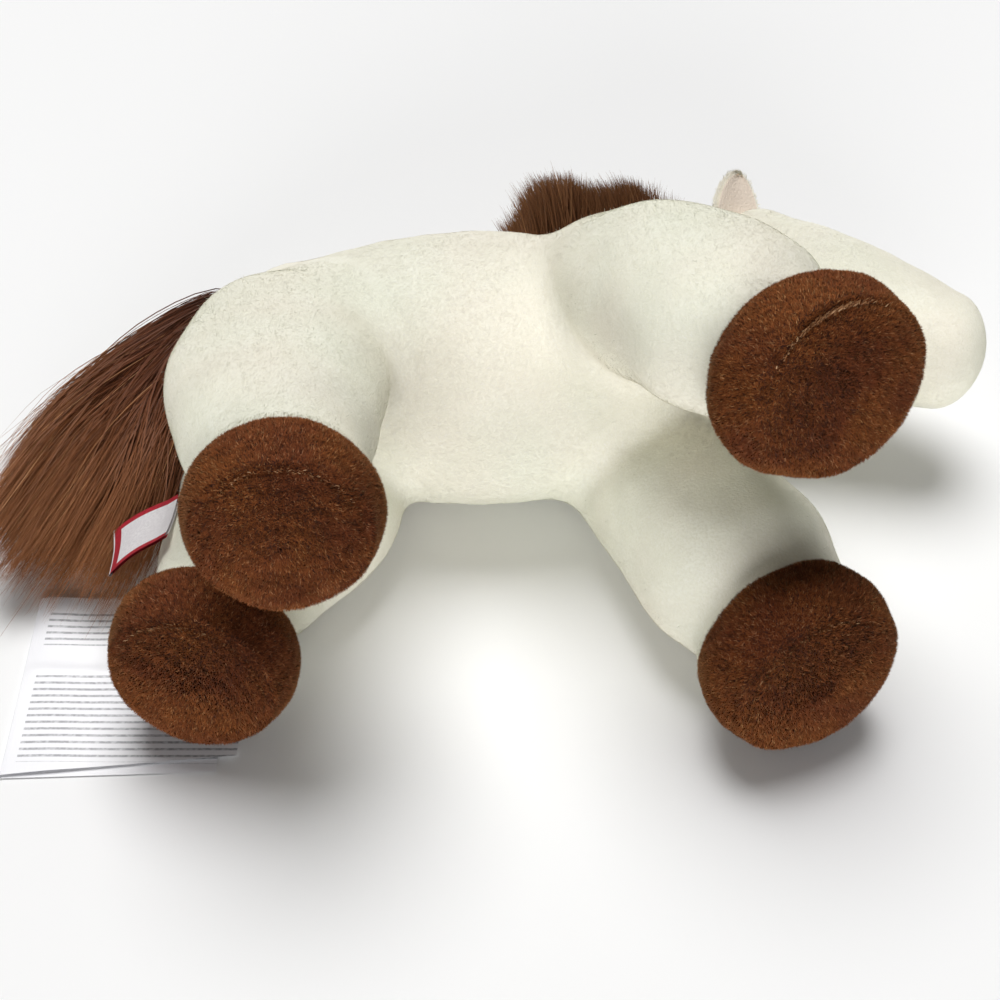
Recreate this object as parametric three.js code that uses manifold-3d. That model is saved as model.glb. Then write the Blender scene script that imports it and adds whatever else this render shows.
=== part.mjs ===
// A plush horse that lies on its left side, in millimetres.
// X runs along the trunk towards the chest, Y towards the back and Z up, to the horse's right side.
// The origin is the middle of the flat on which the left flank rests.
import * as THREE from 'three';
import { ConvexGeometry } from 'three/addons/geometries/ConvexGeometry.js';
import { mergeVertices } from 'three/addons/utils/BufferGeometryUtils.js';
import Module from 'manifold-3d';

// Clearances and cloth
const SEAM_GAP = 0.3; // between pieces that are sewn or laid together
const SWING_GAP = 0.6; // round the root of each piece that swings
const CLOTH = 1.6; // plush cloth with its backing
const FLAT_DEPTH = 0.5; // what lying on the floor presses off the stuffed forms

// Trunk
const TRUNK_RADIUS = 36;
const RUMP_RADIUS = 31;
const CHEST_RADIUS = 33;
const RUMP_X = -56;
const CHEST_X = 31;
const RUMP_ROUND = 26; // how far the round rump reaches past its last full section
const CHEST_ROUND = 26;
const BELLY_PANEL_HALF = 15; // half the width of the panel under the belly

// Legs: the root is a round, flat bulb about the leg's own hinge
const LEG_SWING = 12; // degrees to each side
const LEFT_ROOT_HALF = 18; // half the thickness of a left root
const RIGHT_ROOT_HALF = 18;
const SHOULDER_RISE = 5; // of the raised right shoulder above the right hip
const ROOT_SPACE = 2.5; // between the left roots and the right ones
const HIP = [-55, -9];
const LEFT_SHOULDER = [36, -13];
const RIGHT_SHOULDER = [29, 4];
const THIGH_RADIUS = 29;
const THIGH_ROUND = 20; // how far the thigh reaches past its hinge
const KNEE_RADIUS = 24;
const SHOULDER_RADIUS = 22.5;
const FOREARM_RADIUS = 26;
const SHANK_RADIUS = 20.5;
const REAR_LEG_LENGTH = 85.4; // hinge to the middle of the hoof
const FRONT_LEG_LENGTH = 87;
const RAISED_LEG_ARCH = 4; // how far the raised front leg bows upwards
const HOOF_RADIUS = 24.2;
const HOOF_BACK = 10; // from the middle of the hoof back to its seam with the sleeve
const HOOF_FRONT = 8; // from the middle of the hoof to its seam with the sole
const SOLE_RADIUS = 22;
const SOLE_DOME = 7;

// Neck and head
const NECK_HINGE = [60, 16];
const NECK_NOD = 10; // degrees to each side
const NECK_ROOT_RADIUS = 17;
const NECK_RADIUS = 24;
const NECK_LENGTH = 26; // hinge to the middle of the skull
const NECK_SLOPE = 25; // degrees that the neck rises towards the back
const SKULL_RADIUS = 27;
const SKULL_ROUND = 25;
const MUZZLE_RADIUS = 17;
const MUZZLE_ROUND = 14;
const FACE_LENGTH = 43; // middle of the skull to the middle of the muzzle
const FACE_SLOPE = 25; // degrees that the face falls towards the belly

// Ears, eyes, hair and labels
const EAR_LENGTH = 23;
const EAR_HALF_WIDTH = 10.5;
const EAR_CLOTH = 1.4;
const EAR_FLAP = 15; // degrees to each side
const EAR_HEM = 1.5; // how far the lining stays inside the plush leaf
const EAR_SINK = 6; // depth to which a leaf is drawn before the skull cuts it
const EAR_SPREAD = 27; // degrees from the middle plane to each ear's root
const EAR_PLACE = 128; // degrees round the skull, from the trunk's own direction
const EAR_TALL = [80, 20]; // the direction in which an ear stands: round the skull, and outwards
const EAR_TURN = 1.6; // how far each ear turns outwards, against forwards
const EYE_RADIUS = 4;
const EYE_DOME = 1.5;
const EYE_SEAT = 0.3;
const EYE_POST_RADIUS = 1.3;
const EYE_POST_LENGTH = 7;
const EYE_SPREAD = 19; // degrees from the forehead's middle line to each eye
const EYE_SHARE = 0.3; // place along the face, from the skull to the muzzle
const WASHER_RADIUS = 4.5;
const WASHER_THICKNESS = 1;
const GUSSET_HALF = 4.5; // half the width of the panel over the forehead
const MANE_START = 2;
const MANE_LENGTH = 45;
const MANE_HEIGHT = 33;
const MANE_SINK = 5; // how deep the mane is drawn before the trunk cuts it
const MANE_THICKNESS = 12;
const MANE_LEAN = 45; // degrees that the mane falls to the right side
const POLL_MANE_HEIGHT = 22;
const POLL_MANE_SHIFT = 4; // towards the right side
const POLL_MANE_ARC = [140, 152]; // degrees round the skull
const FORELOCK_ARC = [98, 80, 62];
const FORELOCK_HEIGHT = 7;
const FORELOCK_WIDTH = 13;
const TAIL_THICKNESS = 15;
const TAIL_SPREAD = 44;
const TAIL_SET = [22, 4]; // the tail's root above the middle of the rump, towards the back and the right
const TAIL_STEPS = [[-17, -10, -3], [-32, -34, -10], [-44, -64, -21]]; // from the root to each station
const TAIL_SWING = [-25, 5];
const CARE_LABEL_WIDTH = 58.6;
const CARE_LABEL_LENGTH = 58;
const CARE_LABEL_OFFSET = [-22.5, 11]; // from the hoof that lies on it
const CARE_LABEL_THICKNESS = 1;
const TAG_LENGTH = 16;
const TAG_WIDTH = 21;
const TAG_THICKNESS = 0.8;
const TAG_FLAP = 20; // degrees to each side
const TAG_SHARE = 0.34; // place along the leg
const TAG_ANGLE = 34; // degrees from the leg's rear line towards the right
const TAG_DROOP = 38; // degrees below level

// Levels above the floor
const AXIS_Z = TRUNK_RADIUS - FLAT_DEPTH;
const LEFT_ROOT_Z = LEFT_ROOT_HALF - FLAT_DEPTH;
const RIGHT_ROOT_Z = LEFT_ROOT_Z + LEFT_ROOT_HALF + ROOT_SPACE + RIGHT_ROOT_HALF;
const FRONT_HOOF_Z = HOOF_RADIUS - FLAT_DEPTH;
const LABELLED_HOOF_Z = CARE_LABEL_THICKNESS + SEAM_GAP + HOOF_RADIUS - FLAT_DEPTH;
const STACKED_HOOF_Z = LABELLED_HOOF_Z + 2 * HOOF_RADIUS + SWING_GAP;
const RAISED_HOOF_Z = 91.5;

const TRUNK_SIDES = 20;
const LIMB_SIDES = 16;
const EYE_SIDES = 12;
const FAR = 400;
const UP = new THREE.Vector3(0, 0, 1);

const wasm = await Module();
wasm.setup();

const plush = { color: '#efe9dc', roughness: 0.95, metalness: 0 };
const darkPlush = { color: '#4c2a18', roughness: 0.9, metalness: 0 };
const solePlush = { color: '#52301c', roughness: 0.9, metalness: 0 };
const maneHair = { color: '#4c3321', roughness: 0.75, metalness: 0 };
const tailHair = { color: '#4f2e1e', roughness: 0.7, metalness: 0 };
const liningCloth = { color: '#e3d3c4', roughness: 0.9, metalness: 0 };
const fibreFill = { color: '#f4f3ef', roughness: 1, metalness: 0 };
const blackPlastic = { color: '#120d0a', roughness: 0.15, metalness: 0 };
const whitePlastic = { color: '#e8e8e4', roughness: 0.5, metalness: 0 };
const satin = { color: '#f6f6f4', roughness: 0.6, metalness: 0 };
const wovenRed = { color: '#be0f28', roughness: 0.7, metalness: 0 };

const vector = (list) => new THREE.Vector3(...list);
const radians = THREE.MathUtils.degToRad;

// A level direction, at an angle from the trunk's own direction towards the back
const bearing = (angle) => new THREE.Vector3(Math.cos(radians(angle)), Math.sin(radians(angle)), 0);

// Solids: closed meshes that are joined and cut
function solidOf(geometry) {
  const bare = geometry.clone();
  bare.deleteAttribute('normal');
  bare.deleteAttribute('uv');
  const merged = mergeVertices(bare, 1e-5);
  return new wasm.Manifold(new wasm.Mesh({
    numProp: 3,
    vertProperties: new Float32Array(merged.attributes.position.array),
    triVerts: new Uint32Array(merged.index.array),
  }));
}

function geometryOf(solid) {
  const { vertProperties, triVerts } = solid.getMesh();
  const geometry = new THREE.BufferGeometry();
  geometry.setAttribute('position', new THREE.BufferAttribute(new Float32Array(vertProperties), 3));
  geometry.setIndex(new THREE.BufferAttribute(new Uint32Array(triVerts), 1));
  return geometry;
}

function box(low, high) {
  const size = vector(high).sub(vector(low));
  const middle = vector(high).add(vector(low)).multiplyScalar(0.5);
  return solidOf(new THREE.BoxGeometry(size.x, size.y, size.z).translate(middle.x, middle.y, middle.z));
}

// Everything on the far side of a plane, as a large block
function beyond(point, normal) {
  const block = new THREE.BoxGeometry(FAR, FAR, FAR).translate(0, 0, FAR / 2);
  block.applyQuaternion(new THREE.Quaternion().setFromUnitVectors(UP, normal.clone().normalize()));
  return solidOf(block.translate(point.x, point.y, point.z));
}

// Everything past the middle plane, seen from one side
const pastMiddle = (side) => beyond(
  new THREE.Vector3(0, 0, AXIS_Z + (side * SEAM_GAP) / 2),
  UP.clone().multiplyScalar(-side),
);
const below = (level) => beyond(new THREE.Vector3(0, 0, level), UP.clone().negate());

// The room that rounded shapes take up as they turn about an axis from one angle to another
function swept(geometries, point, axis, [from, to]) {
  const corners = [];
  geometries.forEach((geometry) => [from, (from + to) / 2, to].forEach((angle) => {
    const { position } = geometry.attributes;
    for (let i = 0; i < position.count; i += 1) {
      const corner = new THREE.Vector3().fromBufferAttribute(position, i).sub(point);
      corners.push(corner.applyAxisAngle(axis, radians(angle)).add(point));
    }
  }));
  return solidOf(new ConvexGeometry(corners));
}

// A stuffed form: oval sections along a spine, with a rounded end at each side.
// Each station is [place, half width in the plane of the spine, half depth across it].
class StuffedForm {
  constructor(stations, startRound, endRound, sides = TRUNK_SIDES, stepsBetween = 2) {
    this.spine = new THREE.CatmullRomCurve3(stations.map(([place]) => place));
    const girths = stations.map(([, wide, deep]) => new THREE.Vector3(wide, deep, 0));
    this.girth = new THREE.CatmullRomCurve3(girths);
    this.startRound = startRound;
    this.endRound = endRound;
    this.sides = sides;
    this.steps = stepsBetween * (stations.length - 1);
  }

  section(share) {
    const along = this.spine.getTangent(share);
    const side = new THREE.Vector3().crossVectors(along, UP).normalize();
    const girth = this.girth.getPoint(share);
    return {
      middle: this.spine.getPoint(share),
      along,
      side,
      across: new THREE.Vector3().crossVectors(side, along),
      wide: girth.x,
      deep: girth.y,
    };
  }

  // A point on the surface, at an angle from the side towards the up direction
  surface(share, angle, grow = 0) {
    const { middle, side, across, wide, deep } = this.section(share);
    return middle.clone()
      .addScaledVector(side, (wide + grow) * Math.cos(radians(angle)))
      .addScaledVector(across, (deep + grow) * Math.sin(radians(angle)));
  }

  normal(share, angle) {
    const across = this.surface(share, angle + 1).sub(this.surface(share, angle - 1));
    const along = this.surface(share + 0.01, angle).sub(this.surface(share - 0.01, angle));
    return new THREE.Vector3().crossVectors(along, across).normalize();
  }

  geometry(grow = 0) {
    const capSteps = 3;
    const { sides } = this;
    const rings = [];
    const ring = (share, push, scale) => {
      const { middle, along, side, across, wide, deep } = this.section(share);
      const centre = middle.addScaledVector(along, push);
      for (let i = 0; i < sides; i += 1) {
        const angle = (2 * Math.PI * i) / sides;
        rings.push(...centre.clone()
          .addScaledVector(side, (wide + grow) * scale * Math.cos(angle))
          .addScaledVector(across, (deep + grow) * scale * Math.sin(angle)).toArray());
      }
    };
    const pole = (share, push) => {
      const { middle, along } = this.section(share);
      rings.push(...middle.addScaledVector(along, push).toArray());
    };
    const startRound = this.startRound + grow;
    const endRound = this.endRound + grow;
    const quarter = (step) => (Math.PI / 2) * (step / capSteps);
    pole(0, -startRound);
    for (let step = 1; step < capSteps; step += 1) {
      ring(0, -startRound * Math.cos(quarter(step)), Math.sin(quarter(step)));
    }
    for (let step = 0; step <= this.steps; step += 1) ring(step / this.steps, 0, 1);
    for (let step = capSteps - 1; step > 0; step -= 1) {
      ring(1, endRound * Math.cos(quarter(step)), Math.sin(quarter(step)));
    }
    pole(1, endRound);
    return closedTube(rings, this.steps + 2 * capSteps - 1, sides);
  }
}

// Joins rings of points, with one point at each end, into a closed mesh that faces outwards
function closedTube(points, ringCount, sides) {
  const last = points.length / 3 - 1;
  const at = (row, i) => 1 + row * sides + (i % sides);
  const faces = [];
  for (let i = 0; i < sides; i += 1) {
    faces.push(0, at(0, i), at(0, i + 1));
    for (let row = 0; row < ringCount - 1; row += 1) {
      faces.push(at(row, i), at(row + 1, i), at(row, i + 1));
      faces.push(at(row, i + 1), at(row + 1, i), at(row + 1, i + 1));
    }
    faces.push(last, at(ringCount - 1, i + 1), at(ringCount - 1, i));
  }
  const geometry = new THREE.BufferGeometry();
  geometry.setAttribute('position', new THREE.Float32BufferAttribute(points, 3));
  geometry.setIndex(faces);
  return geometry;
}

// Adds one named piece to a group that stands at the piece's hinge
function addPiece(group, name, solid, finish) {
  const { x, y, z } = group.position;
  const geometry = geometryOf(solid).translate(-x, -y, -z);
  geometry.computeVertexNormals();
  const mesh = new THREE.Mesh(geometry, new THREE.MeshStandardMaterial(finish));
  mesh.name = name;
  group.add(mesh);
}

const horse = new THREE.Group();
function bodyAt(hinge) {
  const group = new THREE.Group();
  group.position.copy(hinge);
  horse.add(group);
  return group;
}

// Legs
function legForm({ hinge, hoofZ, swing, length, rootRadius, rootHalf, rootRound, kneeRadius, arch }) {
  const climb = Math.asin((hoofZ - hinge.z) / length);
  const direction = new THREE.Vector3(
    Math.sin(radians(swing)) * Math.cos(climb),
    -Math.cos(radians(swing)) * Math.cos(climb),
    Math.sin(climb),
  );
  const at = (distance, lift = 0) => hinge.clone()
    .addScaledVector(direction, distance)
    .addScaledVector(UP, lift);
  const seam = length - HOOF_BACK;
  const form = new StuffedForm([
    [hinge, rootRadius, rootHalf],
    [at(seam * 0.4, arch), (rootRadius + kneeRadius) / 2, (rootHalf + kneeRadius) / 2],
    [at(seam * 0.7, arch * 0.75), kneeRadius, (SHANK_RADIUS + kneeRadius) / 2],
    [at(seam), SHANK_RADIUS, SHANK_RADIUS],
    [at(length - HOOF_BACK / 2), HOOF_RADIUS * 0.97, HOOF_RADIUS * 0.97],
    [at(length), HOOF_RADIUS, HOOF_RADIUS],
    [at(length + HOOF_FRONT), SOLE_RADIUS, SOLE_RADIUS],
  ], rootRound, SOLE_DOME, LIMB_SIDES, 1);
  return { form, direction, at };
}

const legs = [
  {
    name: 'rear_left',
    hinge: vector([...HIP, LEFT_ROOT_Z]),
    hoofZ: LABELLED_HOOF_Z,
    floor: CARE_LABEL_THICKNESS + SEAM_GAP,
    swing: -11.4,
    length: REAR_LEG_LENGTH,
    rootRadius: THIGH_RADIUS,
    rootHalf: LEFT_ROOT_HALF,
    rootRound: THIGH_ROUND,
    kneeRadius: KNEE_RADIUS,
    arch: 0,
  },
  {
    name: 'rear_right',
    hinge: vector([...HIP, RIGHT_ROOT_Z]),
    hoofZ: STACKED_HOOF_Z,
    floor: 0,
    swing: 4.5,
    length: REAR_LEG_LENGTH,
    rootRadius: THIGH_RADIUS,
    rootHalf: RIGHT_ROOT_HALF,
    rootRound: THIGH_ROUND,
    kneeRadius: KNEE_RADIUS,
    arch: 0,
  },
  {
    name: 'front_left',
    hinge: vector([...LEFT_SHOULDER, LEFT_ROOT_Z]),
    hoofZ: FRONT_HOOF_Z,
    floor: 0,
    swing: 25,
    length: FRONT_LEG_LENGTH,
    rootRadius: SHOULDER_RADIUS,
    rootHalf: LEFT_ROOT_HALF,
    rootRound: SHOULDER_RADIUS,
    kneeRadius: FOREARM_RADIUS,
    arch: 0,
  },
  {
    name: 'front_right',
    hinge: vector([...RIGHT_SHOULDER, RIGHT_ROOT_Z + SHOULDER_RISE]),
    hoofZ: RAISED_HOOF_Z,
    floor: 0,
    swing: 31.6,
    length: FRONT_LEG_LENGTH,
    rootRadius: SHOULDER_RADIUS,
    rootHalf: RIGHT_ROOT_HALF,
    rootRound: SHOULDER_RADIUS,
    kneeRadius: FOREARM_RADIUS,
    arch: RAISED_LEG_ARCH,
  },
].map((leg) => ({ ...leg, ...legForm(leg) }));

function addLeg(leg) {
  const body = bodyAt(leg.hinge);
  const floor = below(leg.floor);
  const outside = solidOf(leg.form.geometry()).subtract(floor);
  const cloth = outside.subtract(solidOf(leg.form.geometry(-CLOTH)).subtract(below(leg.floor + CLOTH)));
  const seam = (distance) => beyond(leg.at(distance), leg.direction);
  const ankle = leg.length - HOOF_BACK;
  const rim = leg.length + HOOF_FRONT;
  addPiece(body, `${leg.name}_sleeve`, cloth.subtract(seam(ankle)), plush);
  addPiece(body, `${leg.name}_hoof`, cloth.intersect(seam(ankle + SEAM_GAP)).subtract(seam(rim)), darkPlush);
  addPiece(body, `${leg.name}_sole`, cloth.intersect(seam(rim + SEAM_GAP)), solePlush);
  const inside = CLOTH + SEAM_GAP;
  const filling = solidOf(leg.form.geometry(-inside)).subtract(below(leg.floor + inside));
  addPiece(body, `${leg.name}_stuffing`, filling, fibreFill);
}

// Head: a neck from the nod hinge into the skull, and a face that falls towards the belly
const neckHinge = vector([...NECK_HINGE, AXIS_Z]);
const neckDirection = bearing(NECK_SLOPE);
const faceDirection = bearing(-FACE_SLOPE);
const skull = neckHinge.clone().addScaledVector(neckDirection, NECK_LENGTH);
const onFace = (distance) => skull.clone().addScaledVector(faceDirection, distance);

const neckForm = new StuffedForm([
  [neckHinge, NECK_ROOT_RADIUS, NECK_ROOT_RADIUS],
  [neckHinge.clone().addScaledVector(neckDirection, NECK_LENGTH / 2), NECK_RADIUS, NECK_RADIUS * 0.95],
  [skull, NECK_RADIUS, NECK_RADIUS],
], NECK_ROOT_RADIUS, NECK_RADIUS / 3);
const skullForm = new StuffedForm([
  [skull, SKULL_RADIUS, SKULL_RADIUS],
  [onFace(FACE_LENGTH / 2), (SKULL_RADIUS + MUZZLE_RADIUS) / 2, (SKULL_RADIUS + MUZZLE_RADIUS) / 2],
  [onFace(FACE_LENGTH), MUZZLE_RADIUS, MUZZLE_RADIUS],
], SKULL_ROUND, MUZZLE_ROUND);

const headForms = [neckForm, skullForm];
const joined = (solids) => solids.reduce((all, one) => all.add(one));
const headSolid = (grow) => joined(headForms.map((form) => solidOf(form.geometry(grow))));

const roundSkull = (angle, distance) => skull.clone().addScaledVector(bearing(angle), distance);

const pollManeForm = new StuffedForm(
  POLL_MANE_ARC.map((angle) => [
    roundSkull(angle, SKULL_RADIUS + POLL_MANE_HEIGHT / 2 - MANE_SINK).addScaledVector(UP, POLL_MANE_SHIFT),
    POLL_MANE_HEIGHT / 2,
    MANE_THICKNESS / 2,
  ]).reverse(),
  MANE_THICKNESS / 4,
  MANE_THICKNESS / 4,
  LIMB_SIDES,
);

const headSweep = swept(
  [...headForms, pollManeForm].map((form) => form.geometry(SWING_GAP)),
  neckHinge,
  UP,
  [-NECK_NOD, NECK_NOD],
);
const legSweeps = legs.map(
  (leg) => swept([leg.form.geometry(SWING_GAP)], leg.hinge, UP, [-LEG_SWING, LEG_SWING]),
);

// Trunk: two side panels and a belly panel over one filling, with a pocket for each limb's root
const trunkForm = new StuffedForm([
  [new THREE.Vector3(RUMP_X, 0, AXIS_Z), RUMP_RADIUS, RUMP_RADIUS],
  [new THREE.Vector3(RUMP_X + (CHEST_X - RUMP_X) * 0.4, 0, AXIS_Z), TRUNK_RADIUS, TRUNK_RADIUS],
  [new THREE.Vector3(RUMP_X + (CHEST_X - RUMP_X) * 0.75, 0, AXIS_Z), TRUNK_RADIUS, TRUNK_RADIUS],
  [new THREE.Vector3(CHEST_X, 0, AXIS_Z), CHEST_RADIUS, CHEST_RADIUS],
], RUMP_ROUND, CHEST_ROUND);
const trunkSolid = (grow, floor) => solidOf(trunkForm.geometry(grow)).subtract(below(floor));

function addTrunk() {
  const body = bodyAt(new THREE.Vector3());
  const pockets = joined([...legSweeps, headSweep]);
  const cloth = trunkSolid(0, 0).subtract(trunkSolid(-CLOTH, CLOTH)).subtract(pockets);
  const bellyZone = (grow) => box(
    [RUMP_X, -FAR, AXIS_Z - BELLY_PANEL_HALF - grow],
    [LEFT_SHOULDER[0] - SHOULDER_RADIUS, -TRUNK_RADIUS / 2 + grow, AXIS_Z + BELLY_PANEL_HALF + grow],
  );
  const flanks = cloth.subtract(bellyZone(SEAM_GAP));
  addPiece(body, 'left_side_panel', flanks.subtract(pastMiddle(-1)), plush);
  addPiece(body, 'right_side_panel', flanks.subtract(pastMiddle(1)), plush);
  addPiece(body, 'belly_panel', cloth.intersect(bellyZone(0)), plush);
  const inside = CLOTH + SEAM_GAP;
  addPiece(body, 'trunk_stuffing', trunkSolid(-inside, inside).subtract(pockets), fibreFill);
  addPiece(body, 'mane', maneSolid(), maneHair);
  addPiece(body, 'care_label', careLabel(), satin);
}

// The mane stands along the crest in two lobes and falls to the right side
function maneSolid() {
  const lobes = [0.72, 1, 0.8, 1, 0.85];
  const form = new StuffedForm(lobes.map((lobe, i) => [
    new THREE.Vector3(MANE_START + (MANE_LENGTH * i) / (lobes.length - 1), 0, 0),
    ((MANE_HEIGHT + MANE_SINK) / 2) * lobe,
    MANE_THICKNESS / 2,
  ]), MANE_THICKNESS / 6, MANE_THICKNESS / 6, LIMB_SIDES, 1);
  const strip = form.geometry().translate(0, (MANE_HEIGHT - MANE_SINK) / 2, 0);
  strip.rotateX(radians(MANE_LEAN)).translate(0, TRUNK_RADIUS, AXIS_Z);
  return solidOf(strip).subtract(solidOf(trunkForm.geometry(SEAM_GAP))).subtract(headSweep);
}

// A satin strip folded once, with the hoof of the lower rear leg on it
function careLabel() {
  const leaf = (CARE_LABEL_THICKNESS - SEAM_GAP) / 2;
  const fold = new THREE.Shape([
    [0, 0], [CARE_LABEL_WIDTH, 0], [CARE_LABEL_WIDTH, CARE_LABEL_THICKNESS], [0, CARE_LABEL_THICKNESS],
    [0, CARE_LABEL_THICKNESS - leaf], [CARE_LABEL_WIDTH - leaf, CARE_LABEL_THICKNESS - leaf],
    [CARE_LABEL_WIDTH - leaf, leaf], [0, leaf],
  ].map(([x, y]) => new THREE.Vector2(CARE_LABEL_WIDTH - x, y)).reverse());
  const hoof = legs[0].at(legs[0].length);
  const strip = new THREE.ExtrudeGeometry(fold, { depth: CARE_LABEL_LENGTH, bevelEnabled: false });
  strip.rotateX(Math.PI / 2).translate(
    hoof.x + CARE_LABEL_OFFSET[0] - CARE_LABEL_WIDTH / 2,
    hoof.y + CARE_LABEL_OFFSET[1] + CARE_LABEL_LENGTH / 2,
    0,
  );
  return solidOf(strip);
}

// An eye is a dome on a post, held by a washer behind the cloth
function eyeAt(side) {
  const angle = 180 - side * EYE_SPREAD;
  const place = skullForm.surface(EYE_SHARE, angle);
  const outward = skullForm.normal(EYE_SHARE, angle);
  const washerTop = -CLOTH - SEAM_GAP - WASHER_RADIUS ** 2 / (2 * MUZZLE_RADIUS);
  const upright = new THREE.Quaternion().setFromUnitVectors(new THREE.Vector3(0, 1, 0), outward);
  const turn = (profile) => {
    const outline = profile.map(([x, y]) => new THREE.Vector2(x, y));
    const shape = new THREE.LatheGeometry(outline, EYE_SIDES).applyQuaternion(upright);
    return solidOf(shape.translate(place.x, place.y, place.z));
  };
  const rod = (radius, low, high) => turn([[0, low], [radius, low], [radius, high], [0, high]]);
  const dome = [0, 30, 60, 90].map((step) => [
    EYE_RADIUS * Math.cos(radians(step)),
    EYE_SEAT + EYE_DOME * Math.sin(radians(step)),
  ]);
  dome[dome.length - 1][0] = 0;
  const post = [[0, -EYE_POST_LENGTH], [EYE_POST_RADIUS, -EYE_POST_LENGTH], [EYE_POST_RADIUS, EYE_SEAT]];
  const hole = EYE_POST_RADIUS + SEAM_GAP;
  return {
    eye: turn([...post, ...dome]),
    washer: rod(WASHER_RADIUS, washerTop - WASHER_THICKNESS, washerTop)
      .subtract(rod(hole, -EYE_POST_LENGTH, EYE_SEAT)),
    clothHole: rod(hole, -EYE_POST_LENGTH - SEAM_GAP, EYE_SEAT + EYE_DOME),
    fillingHole: rod(WASHER_RADIUS + SEAM_GAP, washerTop - WASHER_THICKNESS - SEAM_GAP, 0),
  };
}

// Ears: a leaf of plush with a lining, standing on the back of the skull
function leafShape(halfWidth, height, front) {
  const outline = new THREE.Shape();
  const foot = halfWidth * 0.8;
  const bulge = halfWidth * 1.25;
  const tip = halfWidth * 0.7;
  outline.moveTo(-foot, -EAR_SINK);
  outline.bezierCurveTo(-bulge, height * 0.45, -tip, height * 0.97, 0, height);
  outline.bezierCurveTo(tip, height * 0.97, bulge, height * 0.45, foot, -EAR_SINK);
  return new THREE.ExtrudeGeometry(outline, { depth: EAR_CLOTH, bevelEnabled: false, curveSegments: 7 })
    .translate(0, 0, front);
}

function addEar(name, side) {
  const spread = radians(EAR_SPREAD);
  const outward = bearing(EAR_PLACE)
    .multiplyScalar(Math.cos(spread))
    .addScaledVector(UP, side * Math.sin(spread));
  const root = skull.clone().addScaledVector(outward, SKULL_RADIUS + SEAM_GAP);
  const rise = radians(EAR_TALL[1]);
  const tall = bearing(EAR_TALL[0])
    .multiplyScalar(Math.cos(rise))
    .addScaledVector(UP, side * Math.sin(rise));
  const facing = faceDirection.clone().addScaledVector(UP, side * EAR_TURN);
  facing.addScaledVector(tall, -facing.dot(tall)).normalize();
  const across = new THREE.Vector3().crossVectors(tall, facing);
  const frame = new THREE.Matrix4().makeBasis(across, tall, facing).setPosition(root);
  const skulls = headForms.map((form) => form.geometry(SEAM_GAP));
  const skullSweep = swept(skulls, root, across, [-EAR_FLAP, EAR_FLAP]);
  const body = bodyAt(root);
  const put = (shape) => solidOf(shape.applyMatrix4(frame)).subtract(skullSweep);
  addPiece(body, `${name}_ear`, put(leafShape(EAR_HALF_WIDTH, EAR_LENGTH, -EAR_CLOTH)), plush);
  const lining = leafShape(EAR_HALF_WIDTH - EAR_HEM, EAR_LENGTH - EAR_HEM, SEAM_GAP);
  addPiece(body, `${name}_ear_lining`, put(lining), liningCloth);
}

function addHead() {
  const body = bodyAt(neckHinge);
  const eyes = { left: eyeAt(-1), right: eyeAt(1) };
  const holes = (kind) => eyes.left[kind].add(eyes.right[kind]);
  const cloth = headSolid(0).subtract(headSolid(-CLOTH)).subtract(holes('clothHole'));
  const crest = new THREE.Vector3().crossVectors(UP, faceDirection);
  const gussetZone = (grow) => box(
    [-FAR, -FAR, AXIS_Z - GUSSET_HALF - grow],
    [FAR, FAR, AXIS_Z + GUSSET_HALF + grow],
  ).intersect(beyond(skull.clone().addScaledVector(crest, -grow), crest));
  const cheeks = cloth.subtract(gussetZone(SEAM_GAP));
  addPiece(body, 'head_left_panel', cheeks.subtract(pastMiddle(-1)), plush);
  addPiece(body, 'head_right_panel', cheeks.subtract(pastMiddle(1)), plush);
  addPiece(body, 'head_gusset', cloth.intersect(gussetZone(0)), plush);
  const filling = headSolid(-CLOTH - SEAM_GAP).subtract(holes('clothHole')).subtract(holes('fillingHole'));
  addPiece(body, 'head_stuffing', filling, fibreFill);
  Object.entries(eyes).forEach(([side, { eye, washer }]) => {
    addPiece(body, `${side}_eye`, eye, blackPlastic);
    addPiece(body, `${side}_eye_washer`, washer, whitePlastic);
  });
  const clearHead = headSolid(SEAM_GAP);
  addPiece(body, 'poll_mane', solidOf(pollManeForm.geometry()).subtract(clearHead), maneHair);
  const forelock = new StuffedForm(FORELOCK_ARC.map((angle, i) => [
    roundSkull(angle, SKULL_RADIUS + FORELOCK_HEIGHT / 4),
    (FORELOCK_HEIGHT / 2) * (1 - i / 8),
    (FORELOCK_WIDTH / 2) * (1 - i / 6),
  ]), FORELOCK_WIDTH * 0.3, FORELOCK_WIDTH * 0.45, LIMB_SIDES);
  addPiece(body, 'forelock', solidOf(forelock.geometry()).subtract(clearHead), maneHair);
}

// The woven tag hangs from the rear seam of the lower rear leg
function tagOn({ form }) {
  const from = form.surface(TAG_SHARE - 0.06, TAG_ANGLE, SWING_GAP);
  const to = form.surface(TAG_SHARE + 0.06, TAG_ANGLE, SWING_GAP);
  const root = from.clone().add(to).multiplyScalar(0.5);
  const along = to.sub(from).normalize();
  const outward = new THREE.Vector3().crossVectors(along, UP).normalize();
  outward.applyAxisAngle(along, radians(TAG_DROOP));
  const face = new THREE.Vector3().crossVectors(outward, along);
  const frame = new THREE.Matrix4().makeBasis(outward, along, face).setPosition(root);
  const strip = (grow) => {
    const block = new THREE.BoxGeometry(TAG_WIDTH + grow, TAG_LENGTH + 2 * grow, TAG_THICKNESS + 2 * grow);
    return block.translate((TAG_WIDTH + grow) / 2, 0, 0).applyMatrix4(frame);
  };
  return { root, along, strip };
}

const tag = tagOn(legs[0]);

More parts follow.
